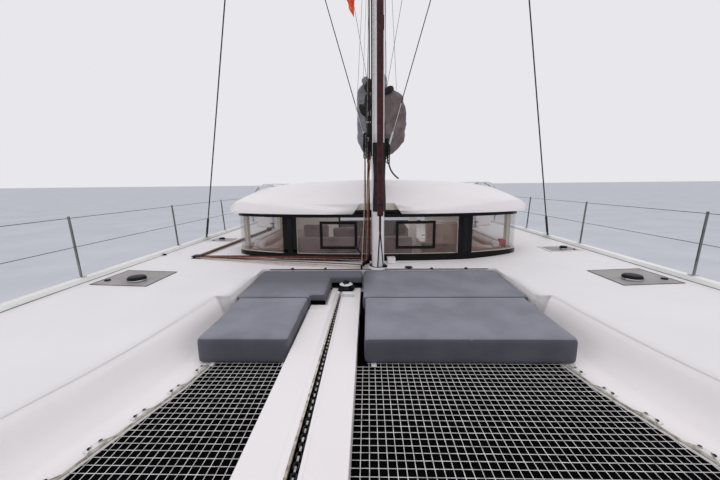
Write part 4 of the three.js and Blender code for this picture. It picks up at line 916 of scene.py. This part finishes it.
# Washed cotton covers: an off-white and a faded red
white_cotton = mottled("washed_white_cotton", "#d9d3d2", "#e9e5e4", 0.08, 0.003, 0.0005, Roughness=0.95)[0]
red_cotton = mottled("faded_red_cotton", "#a83a50", "#c2596a", 0.08, 0.003, 0.0005, Roughness=0.95)[0]
SHELF_TOP = 1.578
# Columns: x, x, y, y, z, z of each locker along the sides and of the shelf before them
LOCKERS = ((1.98, 2.255, 0.80, 3.15, 1.10, SHELF_TOP), (1.42, 1.975, 0.80, 3.18, 1.40, 1.535),
           (1.45, 2.14, 0.47, 0.79, SHELF_TOP - 0.03, SHELF_TOP))
for side, sign in SIDES:
    lockers = []
    for near, far, y0, y1, z0, z1 in LOCKERS:
        low_x, high_x = sorted((sign * near, sign * far))
        lockers.append(block((low_x, y0, z0), (high_x, y1, z1), 0.006))
    assembled(f"side_lockers_{side}", lockers, "root", "joinery_wood", veneer)
# Columns: name, low corner, high corner, turn about Y in degrees, cover
LOOSE_PADS = (
    ("back_cushion_1", (-1.20, 0.33, SOLE_Z + 0.45), (-0.76, 0.45, 2.02), 0, upholstery),
    ("back_cushion_2", (-0.72, 0.33, SOLE_Z + 0.45), (-0.32, 0.45, 1.97), 0, upholstery),
    ("back_cushion_3", (-0.28, 0.33, SOLE_Z + 0.45), (0.12, 0.45, 1.95), 0, upholstery),
    ("pillow_starboard", (-2.08, 0.53, SHELF_TOP + 0.004), (-1.90, 0.62, SHELF_TOP + 0.15), 12, white_cotton),
    ("pillow_port", (1.95, 0.53, SHELF_TOP + 0.004), (2.06, 0.62, SHELF_TOP + 0.11), -12, white_cotton),
    ("red_pillow_port", (2.07, 0.60, SHELF_TOP + 0.004), (2.20, 0.70, SHELF_TOP + 0.13), 8, red_cotton),
)
for name, low, high, turn, cover in LOOSE_PADS:
    small = high[2] - low[2] < 0.3
    pad = block(low, high, 0.02 if small else 0.04, (0, math.radians(turn), 0))
    pad.name = name
    stuffed(pad, 0.010 if small else 0.02, 0.004, 0.016)
    settle(pad, "root", "upholstery", cover)
POST = Vector((0.65, 0.88, SOLE_Z))
under_roof = roof.ray_cast(POST + Vector((0, 0, 0.5)), Vector((0, 0, 1)))[1].z
post = [block(POST + Vector((-0.07, -0.045, 0.001)), (POST.x + 0.07, POST.y + 0.045, under_roof - 0.002),
              0.008),
        block(POST + Vector((-0.09, -0.06, 0.001)), POST + Vector((0.09, 0.055, 0.05)), 0.006)]
assembled("saloon_post", post, "root", "gelcoat", gelcoat)
locker = [block((0.80, 0.22, 1.70), (1.30, 0.46, 2.02), 0.008),
          block((0.83, 0.213, 1.73), (1.04, 0.222, 1.99), 0.004),
          block((1.06, 0.213, 1.73), (1.27, 0.222, 1.99), 0.004)]
assembled("galley_locker", locker, "root", "joinery_wood", veneer)
tap = [bent_line([(1.28, 1.10, 1.69), (1.28, 1.10, 1.93), (1.22, 1.10, 1.97), (1.14, 1.10, 1.90)], 0.010),
       drum((1.28, 1.10, 1.697), 0.024, 0.014, 0.003)]
assembled("galley_tap", tap, "root", "stainless_steel", stainless)
sink = block((0.86, 0.95, 1.6895), (1.22, 1.30, 1.694), 0.002)
assembled("sink_rim", [sink], "root", "stainless_steel", stainless)

# Helm stations
# A moulded pedestal and seat on each side deck, with a stainless wheel, a black instrument panel,
# a compass and a throttle lever. The seats have foam pads in woven covers.
HELM = Vector((2.88, 4.05, 2.29))
RIM_INSIDE = 0.342  # radius from which the wheel is leather
# Low and high corner of each pad, x from the wheel's middle
HELM_PADS = {"seat": ((-0.25, 4.53, 2.012), (0.25, 4.795, 2.07)),
             "back": ((-0.25, 4.735, 2.09), (0.25, 4.797, 2.33))}
# Stitched leather round the wheel's rim: black and worn smooth
rim_leather = mottled("stitched_leather", "#141312", "#1f1d1b", 0.03, 0.003, 0.0003, Roughness=0.5)[0]
for side, sign in SIDES:
    dressed(f"helm_pedestal_{side}", "root", "gelcoat", gelcoat, bevel=0.02, angle=40)
    dressed(f"helm_seat_{side}", "root", "gelcoat", gelcoat, bevel=0.02, angle=40)
    hub = Vector((sign * HELM.x, HELM.y, HELM.z))
    wheel = dressed(f"helm_wheel_{side}", f"helm_wheel_{side}", "stainless_steel", stainless, rim_leather,
                    angle=60)
    paint_faces(wheel, 1, lambda middle, normal: (middle - hub).length > RIM_INSIDE)
    panel = [block((hub.x - 0.15, 3.905, 2.335), (hub.x + 0.15, 3.935, 2.425), 0.008,
                   (math.radians(-14), 0, 0)),
             drum((hub.x, 3.85, 2.465), 0.055, 0.09, 0.02, top=0.040),
             block((hub.x + 0.155, 3.93, 2.08), (hub.x + 0.185, 3.965, 2.14), 0.005),
             taut_line((hub.x + 0.17, 3.96, 2.11), (hub.x + 0.17, 4.00, 2.24), 0.008)]
    assembled(f"helm_instruments_{side}", panel, "root", "black_frame", black_plastic)
    for word, (low, high) in HELM_PADS.items():
        pad = block((hub.x + low[0], low[1], low[2]), (hub.x + high[0], high[1], high[2]), 0.018)
        pad.name = f"helm_pad_{word}_{side}"
        stuffed(pad, 0.014, 0.003, 0.008)
        settle(pad, "root", "upholstery", cushion_top)

# Mast
# A drawn aluminium section, anodised, on a cast foot. Two struts low on its fore side spread the
# diamond wires that stiffen it. A canvas sleeve with coiled halyard tails is lashed round its foot.
MAST = Vector((0, -0.39, 0))
MAST_X, MAST_Y = 0.086, 0.135
COLLAR_WIDE = 0.040
STRUT = Vector((1.12, -0.62, 6.5))
DIAMOND_FOOT = Vector((0.118, -0.505, 3.05))
DIAMOND_SCREW = 0.26
DIAMOND_BRIGHT = 0.62  # the wires are clean steel up to here
DIAMOND_HEAD = Vector((0.075, -0.49, 11.6))
DIAMOND_WIRE = 0.0055
JUMPER_FOOT = Vector((0.080, -0.36, 3.66))
JUMPER_HEAD = Vector((0.683, -0.30, 7.0))
# Wire rope, dark with grease and salt
wire = mottled("dark_wire_rope", "#151618", "#242528", 0.05, 0.004, 0.0006, Roughness=0.6, Metallic=0.2)[0]
# The mast's aluminium, anodised and weathered: pale and chalky
mast_aluminium = mottled("weathered_mast_aluminium", "#eeeaea", "#f8f5f5", 0.5, 0.0015, 0.00004,
                         Roughness=0.5)[0]
dressed("mast", "root", "anodised_aluminium", mast_aluminium, angle=40)
deselect()
bpy.ops.mesh.primitive_cylinder_add(vertices=40, radius=1, depth=0.03,
                                    location=(MAST.x, MAST.y, DECK_Z + 0.016))
collar = bpy.context.object
collar.scale = (MAST_X + COLLAR_WIDE, MAST_Y + COLLAR_WIDE, 1)
bpy.ops.object.transform_apply(location=False, rotation=False, scale=True)
assembled("mast_collar", [eased(collar, 0.01)], "root", "black_frame", black_plastic)
struts, rods, screws, jumpers = [], [], [], []
for side, sign in SIDES:
    tip = Vector((sign * STRUT.x, STRUT.y, STRUT.z))
    foot = Vector((sign * DIAMOND_FOOT.x, DIAMOND_FOOT.y, DIAMOND_FOOT.z))
    head = Vector((sign * DIAMOND_HEAD.x, DIAMOND_HEAD.y, DIAMOND_HEAD.z))
    struts.append(taut_line((sign * 0.05, -0.47, STRUT.z), tip, 0.017, 12))
    struts.append(drum(tip, 0.024, 0.07, 0.008, sides=12))
    up = (tip - foot).normalized()
    rods += [taut_line(foot + up * DIAMOND_BRIGHT, tip, DIAMOND_WIRE), taut_line(tip, head, DIAMOND_WIRE)]
    screws.append(taut_line(foot, foot + up * DIAMOND_SCREW, 0.012, 10))
    screws.append(taut_line(foot, foot + up * DIAMOND_BRIGHT, 0.0066))
    screws.append(block(foot + Vector((-0.012, -0.012, -0.03)), foot + Vector((0.012, 0.03, 0.03)), 0.004))
    jumpers.append(taut_line((sign * JUMPER_FOOT.x, JUMPER_FOOT.y, JUMPER_FOOT.z),
                             (sign * JUMPER_HEAD.x, JUMPER_HEAD.y, JUMPER_HEAD.z), 0.0026, 6))
assembled("diamond_struts", struts, "root", "anodised_aluminium", anodised)
assembled("spreader_lines", jumpers, "root", "stainless_steel", wire)
assembled("diamond_wires", rods, "root", "stainless_steel", wire)
assembled("diamond_screws", screws, "root", "stainless_steel", stainless)

SLEEVE_Z = (2.28, 3.17)
SLEEVE_AFT = -0.34
SLEEVE_SIDE = -0.062
SLEEVE_LOOSE = 0.014
SLEEVE_FOLD = 0.006
# Waxed canvas, sewn: nearly black with a greenish cast
sleeve_canvas = mottled("waxed_canvas", "#1f1e1a", "#34322c", 0.06, 0.008, 0.002, Roughness=0.95)[0]
deselect()
bpy.ops.mesh.primitive_cylinder_add(vertices=32, radius=1, depth=SLEEVE_Z[1] - SLEEVE_Z[0],
                                    end_fill_type="NOTHING", location=(0, MAST.y, sum(SLEEVE_Z) / 2))
sleeve = bpy.context.object
sleeve.scale = (MAST_X + SLEEVE_LOOSE, MAST_Y + SLEEVE_LOOSE, 1)
bpy.ops.object.transform_apply(location=True, rotation=True, scale=True)
bpy.ops.object.mode_set(mode="EDIT")
bpy.ops.mesh.select_all(action="SELECT")
bpy.ops.mesh.bisect(plane_co=(0, SLEEVE_AFT, 0), plane_no=(0, 1, 0), clear_outer=True)
bpy.ops.mesh.select_all(action="SELECT")
bpy.ops.mesh.bisect(plane_co=(SLEEVE_SIDE, 0, 0), plane_no=(-1, 0, 0), clear_outer=True)
bpy.ops.mesh.select_all(action="SELECT")
bpy.ops.mesh.subdivide(number_cuts=5)
bpy.ops.object.mode_set(mode="OBJECT")
for point in sleeve.data.vertices:
    point.co.x += SLEEVE_FOLD * math.sin(34 * point.co.z) * math.copysign(1, point.co.x)
    point.co.y -= SLEEVE_FOLD * (1 + math.sin(27 * point.co.z + 9 * point.co.x))
apply_modifier(sleeve, "SOLIDIFY", thickness=0.005, offset=1)
assembled("mast_sleeve", [sleeve], "root", "bag_canvas", sleeve_canvas, angle=60)

# Boom and sail bag
# The mainsail lies in a zipped canvas bag along the boom, in two folds that bulge to either side.
# Webbing straps go round the bag, and three pairs of thin lines hold it up from the mast.
BAG_FRONT = -0.10
BAG_GRAIN = 0.018
CREASE_SCALE = 0.11
CREASE_DEPTH = 0.045
STRAPS = (0.62, 1.55, 2.5, 3.4)
STRAP_WIDE = 0.04
JACK_TOP = Vector((0, -0.222, 8.0))  # on the line that the boom turns about
JACKS = ((-0.06, 0.27, 3.93), (1.45, 0.24, 3.80), (2.9, 0.18, 3.66))  # y, reach, height
# Woven acrylic canvas: grey on one fold, browner on the other where sun and rain have worked on it
brown_canvas = mottled("weathered_bag_canvas", "#6f6664", "#8a7f7d", 0.12, 0.004, 0.001,
                       Roughness=0.95, Specular_IOR_Level=0.2)[0]
grey_canvas = mottled("woven_bag_canvas", "#808085", "#9b9b9f", 0.12, 0.004, 0.001,
                      Roughness=0.95, Specular_IOR_Level=0.2)[0]
# Nylon webbing, woven: black, and a pale kind
black_webbing = mottled("woven_black_webbing", "#0c0c0d", "#161617", 0.05, 0.003, 0.0006, Roughness=0.9)[0]
pale_webbing = mottled("woven_pale_webbing", "#9d9a8f", "#bdb9ad", 0.05, 0.003, 0.0006, Roughness=0.9)[0]
dressed("boom", "boom", "anodised_aluminium", anodised, bevel=0.01, angle=40)
bag = own_copy("sail_bag", "sail_bag_canvas")
apply_modifier(bag, "BEVEL", width=0.02, segments=2, limit_method="ANGLE", angle_limit=math.radians(30))
apply_modifier(bag, "REMESH", mode="VOXEL", voxel_size=BAG_GRAIN)
creases = bpy.data.textures.new("creases", "CLOUDS")
creases.noise_scale = CREASE_SCALE
creases.noise_depth = 2
apply_modifier(bag, "DISPLACE", texture=creases, texture_coords="LOCAL", strength=CREASE_DEPTH, mid_level=0.5)
bpy.ops.object.shade_smooth()
settle(bag, "boom", "bag_canvas", brown_canvas, grey_canvas)
paint_faces(bag, 1, lambda middle, normal: middle.x < -0.02)
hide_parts("sail_bag")
for number, y in enumerate(STRAPS, 1):
    deselect()
    bag.select_set(True)
    bpy.context.view_layer.objects.active = bag
    bpy.ops.object.duplicate()
    strap = bpy.context.object
    strap.data.materials.clear()
    bpy.ops.object.mode_set(mode="EDIT")
    for way, edge in ((1, y + STRAP_WIDE), (-1, y)):
        bpy.ops.mesh.select_all(action="SELECT")
        bpy.ops.mesh.bisect(plane_co=(0, edge, 0), plane_no=(0, way, 0), clear_outer=True)
    bpy.ops.object.mode_set(mode="OBJECT")
    apply_modifier(strap, "SOLIDIFY", thickness=0.004, offset=1)
    assembled(f"bag_strap_{number}", [strap], "boom", "bag_canvas", black_webbing, angle=40)
# Columns: middle, half size, turn about Y in degrees, dark (painted shade) or not, of each lump of sail at
# the open front
HEAPS = (((-0.105, -0.165, 3.965), (0.055, 0.03, 0.085), 25, True),
         ((-0.150, -0.150, 4.025), (0.05, 0.03, 0.05), 50, False),
         ((0.150, -0.150, 3.905), (0.075, 0.03, 0.045), -20, True),
         ((0.096, -0.190, 4.005), (0.030, 0.025, 0.085), 0, False),
         ((-0.125, -0.130, 3.76), (0.045, 0.02, 0.12), 0, True),
         ((-0.200, -0.115, 3.66), (0.035, 0.02, 0.085), -28, True))
shaded_heaps, pale_heaps = [], []
for middle, size, turn, dark in HEAPS:
    deselect()
    bpy.ops.mesh.primitive_ico_sphere_add(subdivisions=4, radius=1, location=middle,
                                          rotation=(0, math.radians(turn), 0))
    heap = bpy.context.object
    heap.scale = size
    bpy.ops.object.transform_apply(location=False, rotation=False, scale=True)
    apply_modifier(heap, "DISPLACE", texture=creases, texture_coords="LOCAL", strength=0.05, mid_level=0.5)
    (shaded_heaps if dark else pale_heaps).append(heap)
# The dark lumps are painted shade in the bag's open front
assembled("bag_shaded_folds", shaded_heaps, "boom", "bag_canvas", sleeve_canvas, angle=80)
assembled("bag_pale_folds", pale_heaps, "boom", "bag_canvas", grey_canvas, angle=80)
# Columns: x, x, z, z of each flat patch and strap on the bag's fore end
DARK_PATCHES = ((-0.155, -0.085, 3.12, 3.58), (0.092, 0.112, 3.05, 3.50))
patches = [block((x0, BAG_FRONT - 0.010, z0), (x1, BAG_FRONT - 0.003, z1), 0.003)
           for x0, x1, z0, z1 in DARK_PATCHES]
assembled("bag_dark_straps", patches, "boom", "bag_canvas", black_webbing)
# Columns: x, x, z, z, turn about Y
PALE_PATCHES = ((-0.165, -0.075, 3.855, 3.880, 0.0), (-0.16, -0.085, 3.485, 3.505, 0.0),
                (-0.262, -0.165, 3.735, 3.752, -0.45), (-0.255, -0.165, 3.580, 3.595, 0.75))
patches = [block((x0, BAG_FRONT - 0.015, z0), (x1, BAG_FRONT - 0.011, z1), 0.002, (0, turn, 0))
           for x0, x1, z0, z1, turn in PALE_PATCHES]
assembled("bag_pale_straps", patches, "boom", "bag_canvas", pale_webbing)
# Braided polyester line, thin and grey
grey_line = mottled("braided_grey_line", "#6d6d70", "#8d8d90", 0.05, 0.003, 0.0004, Roughness=0.9)[0]
jacks = []
for y, reach, z in JACKS:
    jacks += [taut_line((sign * reach, y, z), JACK_TOP + Vector((sign * 0.006, 0, 0)), 0.0028, 6)
              for side, sign in SIDES]
assembled("lazy_jacks", jacks, "boom", "stainless_steel", grey_line)

# Standing rigging, furled headsail and stowed gennaker
# Wire shrouds and a forestay hold the mast. The headsail is rolled round the forestay, and a
# gennaker hangs before the mast in a dark red nylon sock, held down by a two-legged bridle.
SOCK_END = Vector((0.020, -0.690, 2.25))
# Woven polyester sailcloth: off-white, crisp, with faint creases
sailcloth = mottled("woven_polyester_sailcloth", "#dcd9d0", "#e8e6df", 0.3, 0.01, 0.001, Roughness=0.75)[0]
# Ripstop nylon, dark red, bunched by the sail inside
red_nylon = mottled("dark_red_nylon", "#1c0305", "#4a0c12", 0.05, 0.012, 0.004, Roughness=0.75)[0]
for side, sign in SIDES:
    dressed(f"shroud_{side}", "root", "black_frame", wire, angle=50)
dressed("furled_genoa", "root", "sailcloth", sailcloth, angle=50)
dressed("stowed_gennaker", "root", "red_sock", red_nylon, bevel=0.02, angle=60)
bridle = [taut_line(SOCK_END + Vector((0, 0, -0.02)), (0.020, -0.66, 2.03), 0.014),
          taut_line((0.020, -0.66, 2.04), (-0.008, -0.535, 1.50), 0.009),
          taut_line((0.022, -0.66, 2.04), (0.072, -0.535, 1.50), 0.009),
          drum(SOCK_END + Vector((0, 0, 0.13)), 0.046, 0.02, 0.004),
          drum(SOCK_END + Vector((0, 0, -0.005)), 0.036, 0.02, 0.006)]
assembled("gennaker_bridle", bridle, "root", "black_frame", black_webbing)

# Running rigging
# Halyards come down the mast's starboard side to blocks round its foot, and from there flat over
# the deck to an organiser, aft beside the cabin to clutches and a winch before the helm.
ORGANISER = Vector((-2.80, 0.03, 0))
CLUTCHES = Vector((-2.60, 3.05, 0))
WINCH = Vector((2.60, 3.42, 0))
LINE_STEP = 0.017
# Braided polyester ropes in the colours that tell them apart, faded and dirty
ROPES = {
    "black": mottled("black_braided_rope", "#0b0b0c", "#1b1b1d", 0.03, 0.004, 0.001, Roughness=0.95)[0],
    "dark_red": mottled("dark_red_braided_rope", "#5c261b", "#8c4434", 0.03, 0.004, 0.001, Roughness=0.95)[0],
    "grey": mottled("grey_braided_rope", "#6f6d66", "#a19f97", 0.03, 0.004, 0.001, Roughness=0.95)[0],
    "tan": mottled("tan_braided_rope", "#a08e70", "#cdbb9a", 0.03, 0.004, 0.001, Roughness=0.95)[0],
}
# Columns: colour, radius, x where it leaves the coils, x over the windows, x at the foot, y and height there
LINES = (
    ("black", 0.008, -0.128, -0.112, -0.118, -0.300, 1.635),
    ("dark_red", 0.008, -0.122, -0.124, -0.140, -0.330, 1.610),
    ("grey", 0.006, -0.102, -0.136, -0.160, -0.365, 1.585),
    ("dark_red", 0.008, -0.130, -0.150, -0.182, -0.400, 1.560),
    ("black", 0.006, -0.168, -0.168, -0.204, -0.440, 1.535),
    ("tan", 0.007, -0.174, -0.184, -0.228, -0.485, 1.510),
)
BEND_Z = 2.33
COIL_Z = 3.02  # the coils hide the lines over this
LINE_Y = -0.475
runs = {}
for number, (kind, radius, top_x, bend_x, x, y, z) in enumerate(LINES):
    side_step = (number - (len(LINES) - 1) / 2) * LINE_STEP
    organiser_z = deck_z(ORGANISER.x) + 0.020
    clutch_z = deck_z(CLUTCHES.x) + 0.030
    points = [(top_x, LINE_Y, COIL_Z), (bend_x, LINE_Y, BEND_Z), (x, LINE_Y - 0.005, z + 0.02),
              (x - 0.03, y, z),
              (ORGANISER.x, ORGANISER.y - side_step, organiser_z),
              (ORGANISER.x - side_step, ORGANISER.y + 0.03, organiser_z),
              (CLUTCHES.x - side_step, CLUTCHES.y, clutch_z)]
    runs.setdefault(kind, []).append(bent_line(points, radius, "VECTOR", steps=1))
# Columns: colour, radius, x at the low end, x at the boom's height, y, low height
HALYARDS = (("black", 0.0075, -0.113, -0.107, -0.500, 3.0), ("black", 0.0075, -0.084, -0.078, -0.510, 3.0),
            ("grey", 0.004, 0.094, 0.094, -0.470, 3.95), ("grey", 0.003, -0.150, -0.120, -0.440, 3.1))
BOOM_UP, MASTHEAD = 4.4, 15.6
for kind, radius, low_x, x, y, low_z in HALYARDS:
    runs.setdefault(kind, []).append(taut_line((low_x, y, low_z), (x, y, BOOM_UP), radius))
    runs[kind].append(taut_line((x, y, BOOM_UP), (x * 0.8, y + 0.02, MASTHEAD), radius))
# A thin line slants away from the foot, and a thicker end crosses it
runs["black"].append(taut_line((-0.170, -0.47, 2.30), (-0.275, -0.45, 1.74), 0.004))
runs["black"].append(taut_line((-0.320, -0.42, 1.80), (-0.215, -0.46, 1.66), 0.010))
# Columns: colour, x, height of the middle, half width, half depth, number of turns
COILS = (("black", -0.168, 3.13, 0.020, 0.16, 4), ("grey", -0.140, 3.10, 0.014, 0.13, 3),
         ("black", -0.122, 3.05, 0.018, 0.14, 4), ("dark_red", -0.118, 2.93, 0.010, 0.10, 2),
         ("black", -0.100, 3.16, 0.012, 0.10, 3), ("black", 0.112, 3.07, 0.014, 0.15, 4),
         ("grey", 0.124, 3.10, 0.010, 0.09, 2), ("black", 0.132, 3.02, 0.014, 0.12, 3))
for kind, x, z, wide, deep, turns in COILS:
    for turn in range(turns):
        grow = 1 - 0.16 * turn
        middle = Vector((x + 0.003 * turn, -0.530 - 0.011 * turn, z + 0.02 * turn))
        loop = [middle + Vector((grow * wide * math.sin(a), 0, -grow * deep * math.cos(a)))
                for a in (0, 1.05, 2.09, 3.14, 4.19, 5.24)]
        runs.setdefault(kind, []).append(bent_line(loop, 0.0065, closed=True, steps=5))
TAIL = ((0.14, 2.93), (0.165, 2.84), (0.21, 2.77), (0.275, 2.71))  # x, height of the loose end to port
runs["black"].append(bent_line([(x, -0.44, z) for x, z in TAIL], 0.011))
for kind, pieces in runs.items():
    assembled(f"ropes_{kind}", pieces, "root", "bag_canvas", ROPES[kind], angle=70)

TURN_X = (0, math.radians(90), 0)  # lays a drum along X
deck_blocks = [drum((x, y, z), 0.030, 0.026, 0.006, TURN_X) for kind, radius, top_x, bend_x, x, y, z in LINES]
deck_blocks += [block((x - 0.022, y - 0.018, DECK_Z + 0.031), (x + 0.004, y + 0.018, z), 0.004)
                for kind, radius, top_x, bend_x, x, y, z in LINES]
deck_blocks += [drum((0.085 + 0.02 * k, -0.52, DECK_Z + 0.045), 0.022, 0.03, 0.005) for k in (0, 1)]
deck_blocks.append(block((0.060, -0.535, 4.50), (0.076, -0.50, 4.66), 0.005))
base = ORGANISER + Vector((0, 0, deck_z(ORGANISER.x)))
deck_blocks += [block(base + Vector((-0.07, -0.06, 0.002)), base + Vector((0.07, 0.08, 0.008)), 0.003),
                block(base + Vector((-0.07, -0.06, 0.030)), base + Vector((0.07, 0.08, 0.040)), 0.004)]
deck_blocks += [drum(base + Vector((x, y, 0.019)), 0.024, 0.020, 0.003)
                for x, y in ((-0.035, -0.03), (0.035, 0.04), (-0.03, 0.045))]
base = CLUTCHES + Vector((0, 0, deck_z(CLUTCHES.x)))
for k in range(len(LINES)):
    x = (k - (len(LINES) - 1) / 2) * LINE_STEP
    deck_blocks.append(block(base + Vector((x - 0.007, 0.0, 0.002)), base + Vector((x + 0.007, 0.16, 0.055)),
                             0.003))
    deck_blocks.append(block(base + Vector((x - 0.006, 0.06, 0.057)), base + Vector((x + 0.006, 0.19, 0.067)),
                             0.003, (math.radians(-8), 0, 0)))
assembled("blocks_and_clutches", deck_blocks, "root", "black_frame", black_plastic)
for side, sign in SIDES:
    base = Vector((sign * WINCH.x, WINCH.y, deck_z(WINCH.x)))
    winch = [drum(base + Vector((0, 0, 0.016)), 0.075, 0.03, 0.004, sides=32),
             drum(base + Vector((0, 0, 0.075)), 0.060, 0.09, 0.004, top=0.048, sides=32),
             drum(base + Vector((0, 0, 0.128)), 0.066, 0.018, 0.006, sides=32)]
    assembled(f"winch_{side}", winch, "root", "stainless_steel", stainless)
    tail = drum(base + Vector((0, 0, 0.146)), 0.045, 0.018, 0.005, sides=32)
    assembled(f"winch_top_{side}", [tail], "root", "black_frame", black_plastic)

# Pennant
# A tapered strip of thin orange cloth, tied to a halyard by its upper edge. It hangs and folds on
# itself, as in still air.
PENNANT_TOP = Vector((-0.385, -0.52, 5.15))
PENNANT_LONG = 0.50
PENNANT_WIDE = 0.36
# Fluorescent nylon cloth: orange-red, thin enough to glow a little in its folds
orange_cloth = mottled("orange_nylon_cloth", "#e0451c", "#ff7a44", 0.04, 0.006, 0.001, Roughness=0.8)[0]
deselect()
bpy.ops.mesh.primitive_grid_add(x_subdivisions=20, y_subdivisions=36, size=1)
pennant = bpy.context.object
pennant.name = "pennant"
for point in pennant.data.vertices:
    across, down = point.co.x + 0.5, 0.5 - point.co.y
    wide = PENNANT_WIDE * (1 - 0.94 * down)
    fold = 0.030 * math.sin(across * 8.0 + down * 3.0) * (1 - 0.6 * down)
    flutter = 0.008 * math.sin(down * 21) * (1 - across)
    drift = (across - 0.5) * wide * 0.66 + flutter + 0.085 * down
    point.co = PENNANT_TOP + Vector((drift, fold, -PENNANT_LONG * down))
apply_modifier(pennant, "SOLIDIFY", thickness=0.0012, offset=0)
bpy.ops.object.shade_smooth_by_angle(angle=math.radians(60))
settle(pennant, "root", "red_sock", orange_cloth)

# Rails
# Stanchions and pulpits of bent stainless tube, bolted through the toe rails on square bases. Two
# thin wire lifelines run through the stanchions.
# Columns: x, y, z of the stanchions' bases
STANCHIONS = ((3.36, -3.15, 1.62), (3.448, -1.32, 1.62), (3.455, 0.65, 1.62), (3.455, 2.55, 1.62),
              (3.41, 4.35, 1.612))
BASE_HALF = 0.035
# Stainless tube, polished, with a painted dark reflection: darker than the fittings
rail_steel_dark_reflection = mottled("stainless_tube_painted_reflection", "#6a6d6c", "#8b8e8d", 0.2, 0.001, 0.00003,
                     Metallic=1.0, Roughness=0.22)[0]
for side, sign in SIDES:
    dressed(f"rail_{side}", "root", "stainless_steel", rail_steel_dark_reflection, angle=50)
bases = [block((sign * x - BASE_HALF, y - BASE_HALF, z),
               (sign * x + BASE_HALF, y + BASE_HALF, z + 0.008), 0.003)
         for x, y, z in STANCHIONS for side, sign in SIDES]
assembled("stanchion_bases", bases, "root", "stainless_steel", stainless)

# Deck hatches and vents
# Aluminium-framed hatches with smoked acrylic panes lie flush in the decks, hinged along one edge.
# Round black vents and fittings are set into the decks near them.
# Powder-coated frame: dark grey, satin
grey_frame = mottled("powder_coated_frame", "#4e5051", "#5c5e5f", 0.3, 0.001, 0.00005, Roughness=0.5)[0]
# The same coating in white, round the side hatches
white_frame = mottled("white_coated_frame", "#dedad9", "#e6e3e2", 0.3, 0.001, 0.00005, Roughness=0.5)[0]
# Non-skid on the panes: mid grey, rough and a little shiny
grey_pane = mottled("grey_nonskid_pane", "#908b8a", "#a19c9b", 0.2, 0.004, 0.0006, Roughness=0.45)[0]
LID_FRAME = {"fore_hatch": 0.014, "side_hatch": 0.05}
# Columns: x, y from the lid's fore edge, radius
LID_VENTS = {"fore_hatch": (2.89, 0.20, 0.108), "side_hatch": (3.10, 0.17, 0.062)}
LID_KNOBS = {"fore_hatch": (3.22, 0.165, 0.034), "side_hatch": (3.25, 0.12, 0.016)}
for side, sign in SIDES:
    for kind in ("fore_hatch", "side_hatch"):
        node = f"{kind}_{side}"
        edge = LID_FRAME[kind]
        lid = own_copy(node, f"{node}_dressed")
        select_faces(lid, lambda middle, normal: normal.z > 0.9)
        bpy.ops.mesh.inset(thickness=edge, depth=-0.003)
        bpy.ops.object.mode_set(mode="OBJECT")
        low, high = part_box(node)
        settle(lid, node, "grey_hatch", grey_frame if kind == "fore_hatch" else white_frame, grey_pane)
        paint_faces(lid, 1, lambda middle, normal: normal.z > 0.9 and low.x + edge < middle.x < high.x - edge
                    and low.y + edge < middle.y < high.y - edge)
        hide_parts(node)
        knob_x, knob_y, radius = LID_KNOBS[kind]
        knob = [drum((sign * knob_x, low.y + knob_y, deck_z(knob_x) + 0.008), radius, 0.014, 0.004)]
        assembled(f"{node}_knob", knob, node, "black_frame", black_plastic)
        vent_x, vent_y, radius = LID_VENTS[kind]
        foot = Vector((sign * vent_x, low.y + vent_y, deck_z(vent_x)))
        cap = [drum(foot + Vector((0, 0, 0.040)), radius, 0.034, 0.012, top=radius * 0.84, sides=32)]
        assembled(f"{node}_vent", cap, node, "black_frame", black_plastic)
        skirt = [drum(foot + Vector((0, 0, 0.0125)), radius * 0.93, 0.022, 0.004, sides=32)]
        assembled(f"{node}_vent_skirt", skirt, node, "stainless_steel", stainless)

size = {"cad": packed_box, "visual": [list(corner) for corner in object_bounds()]}
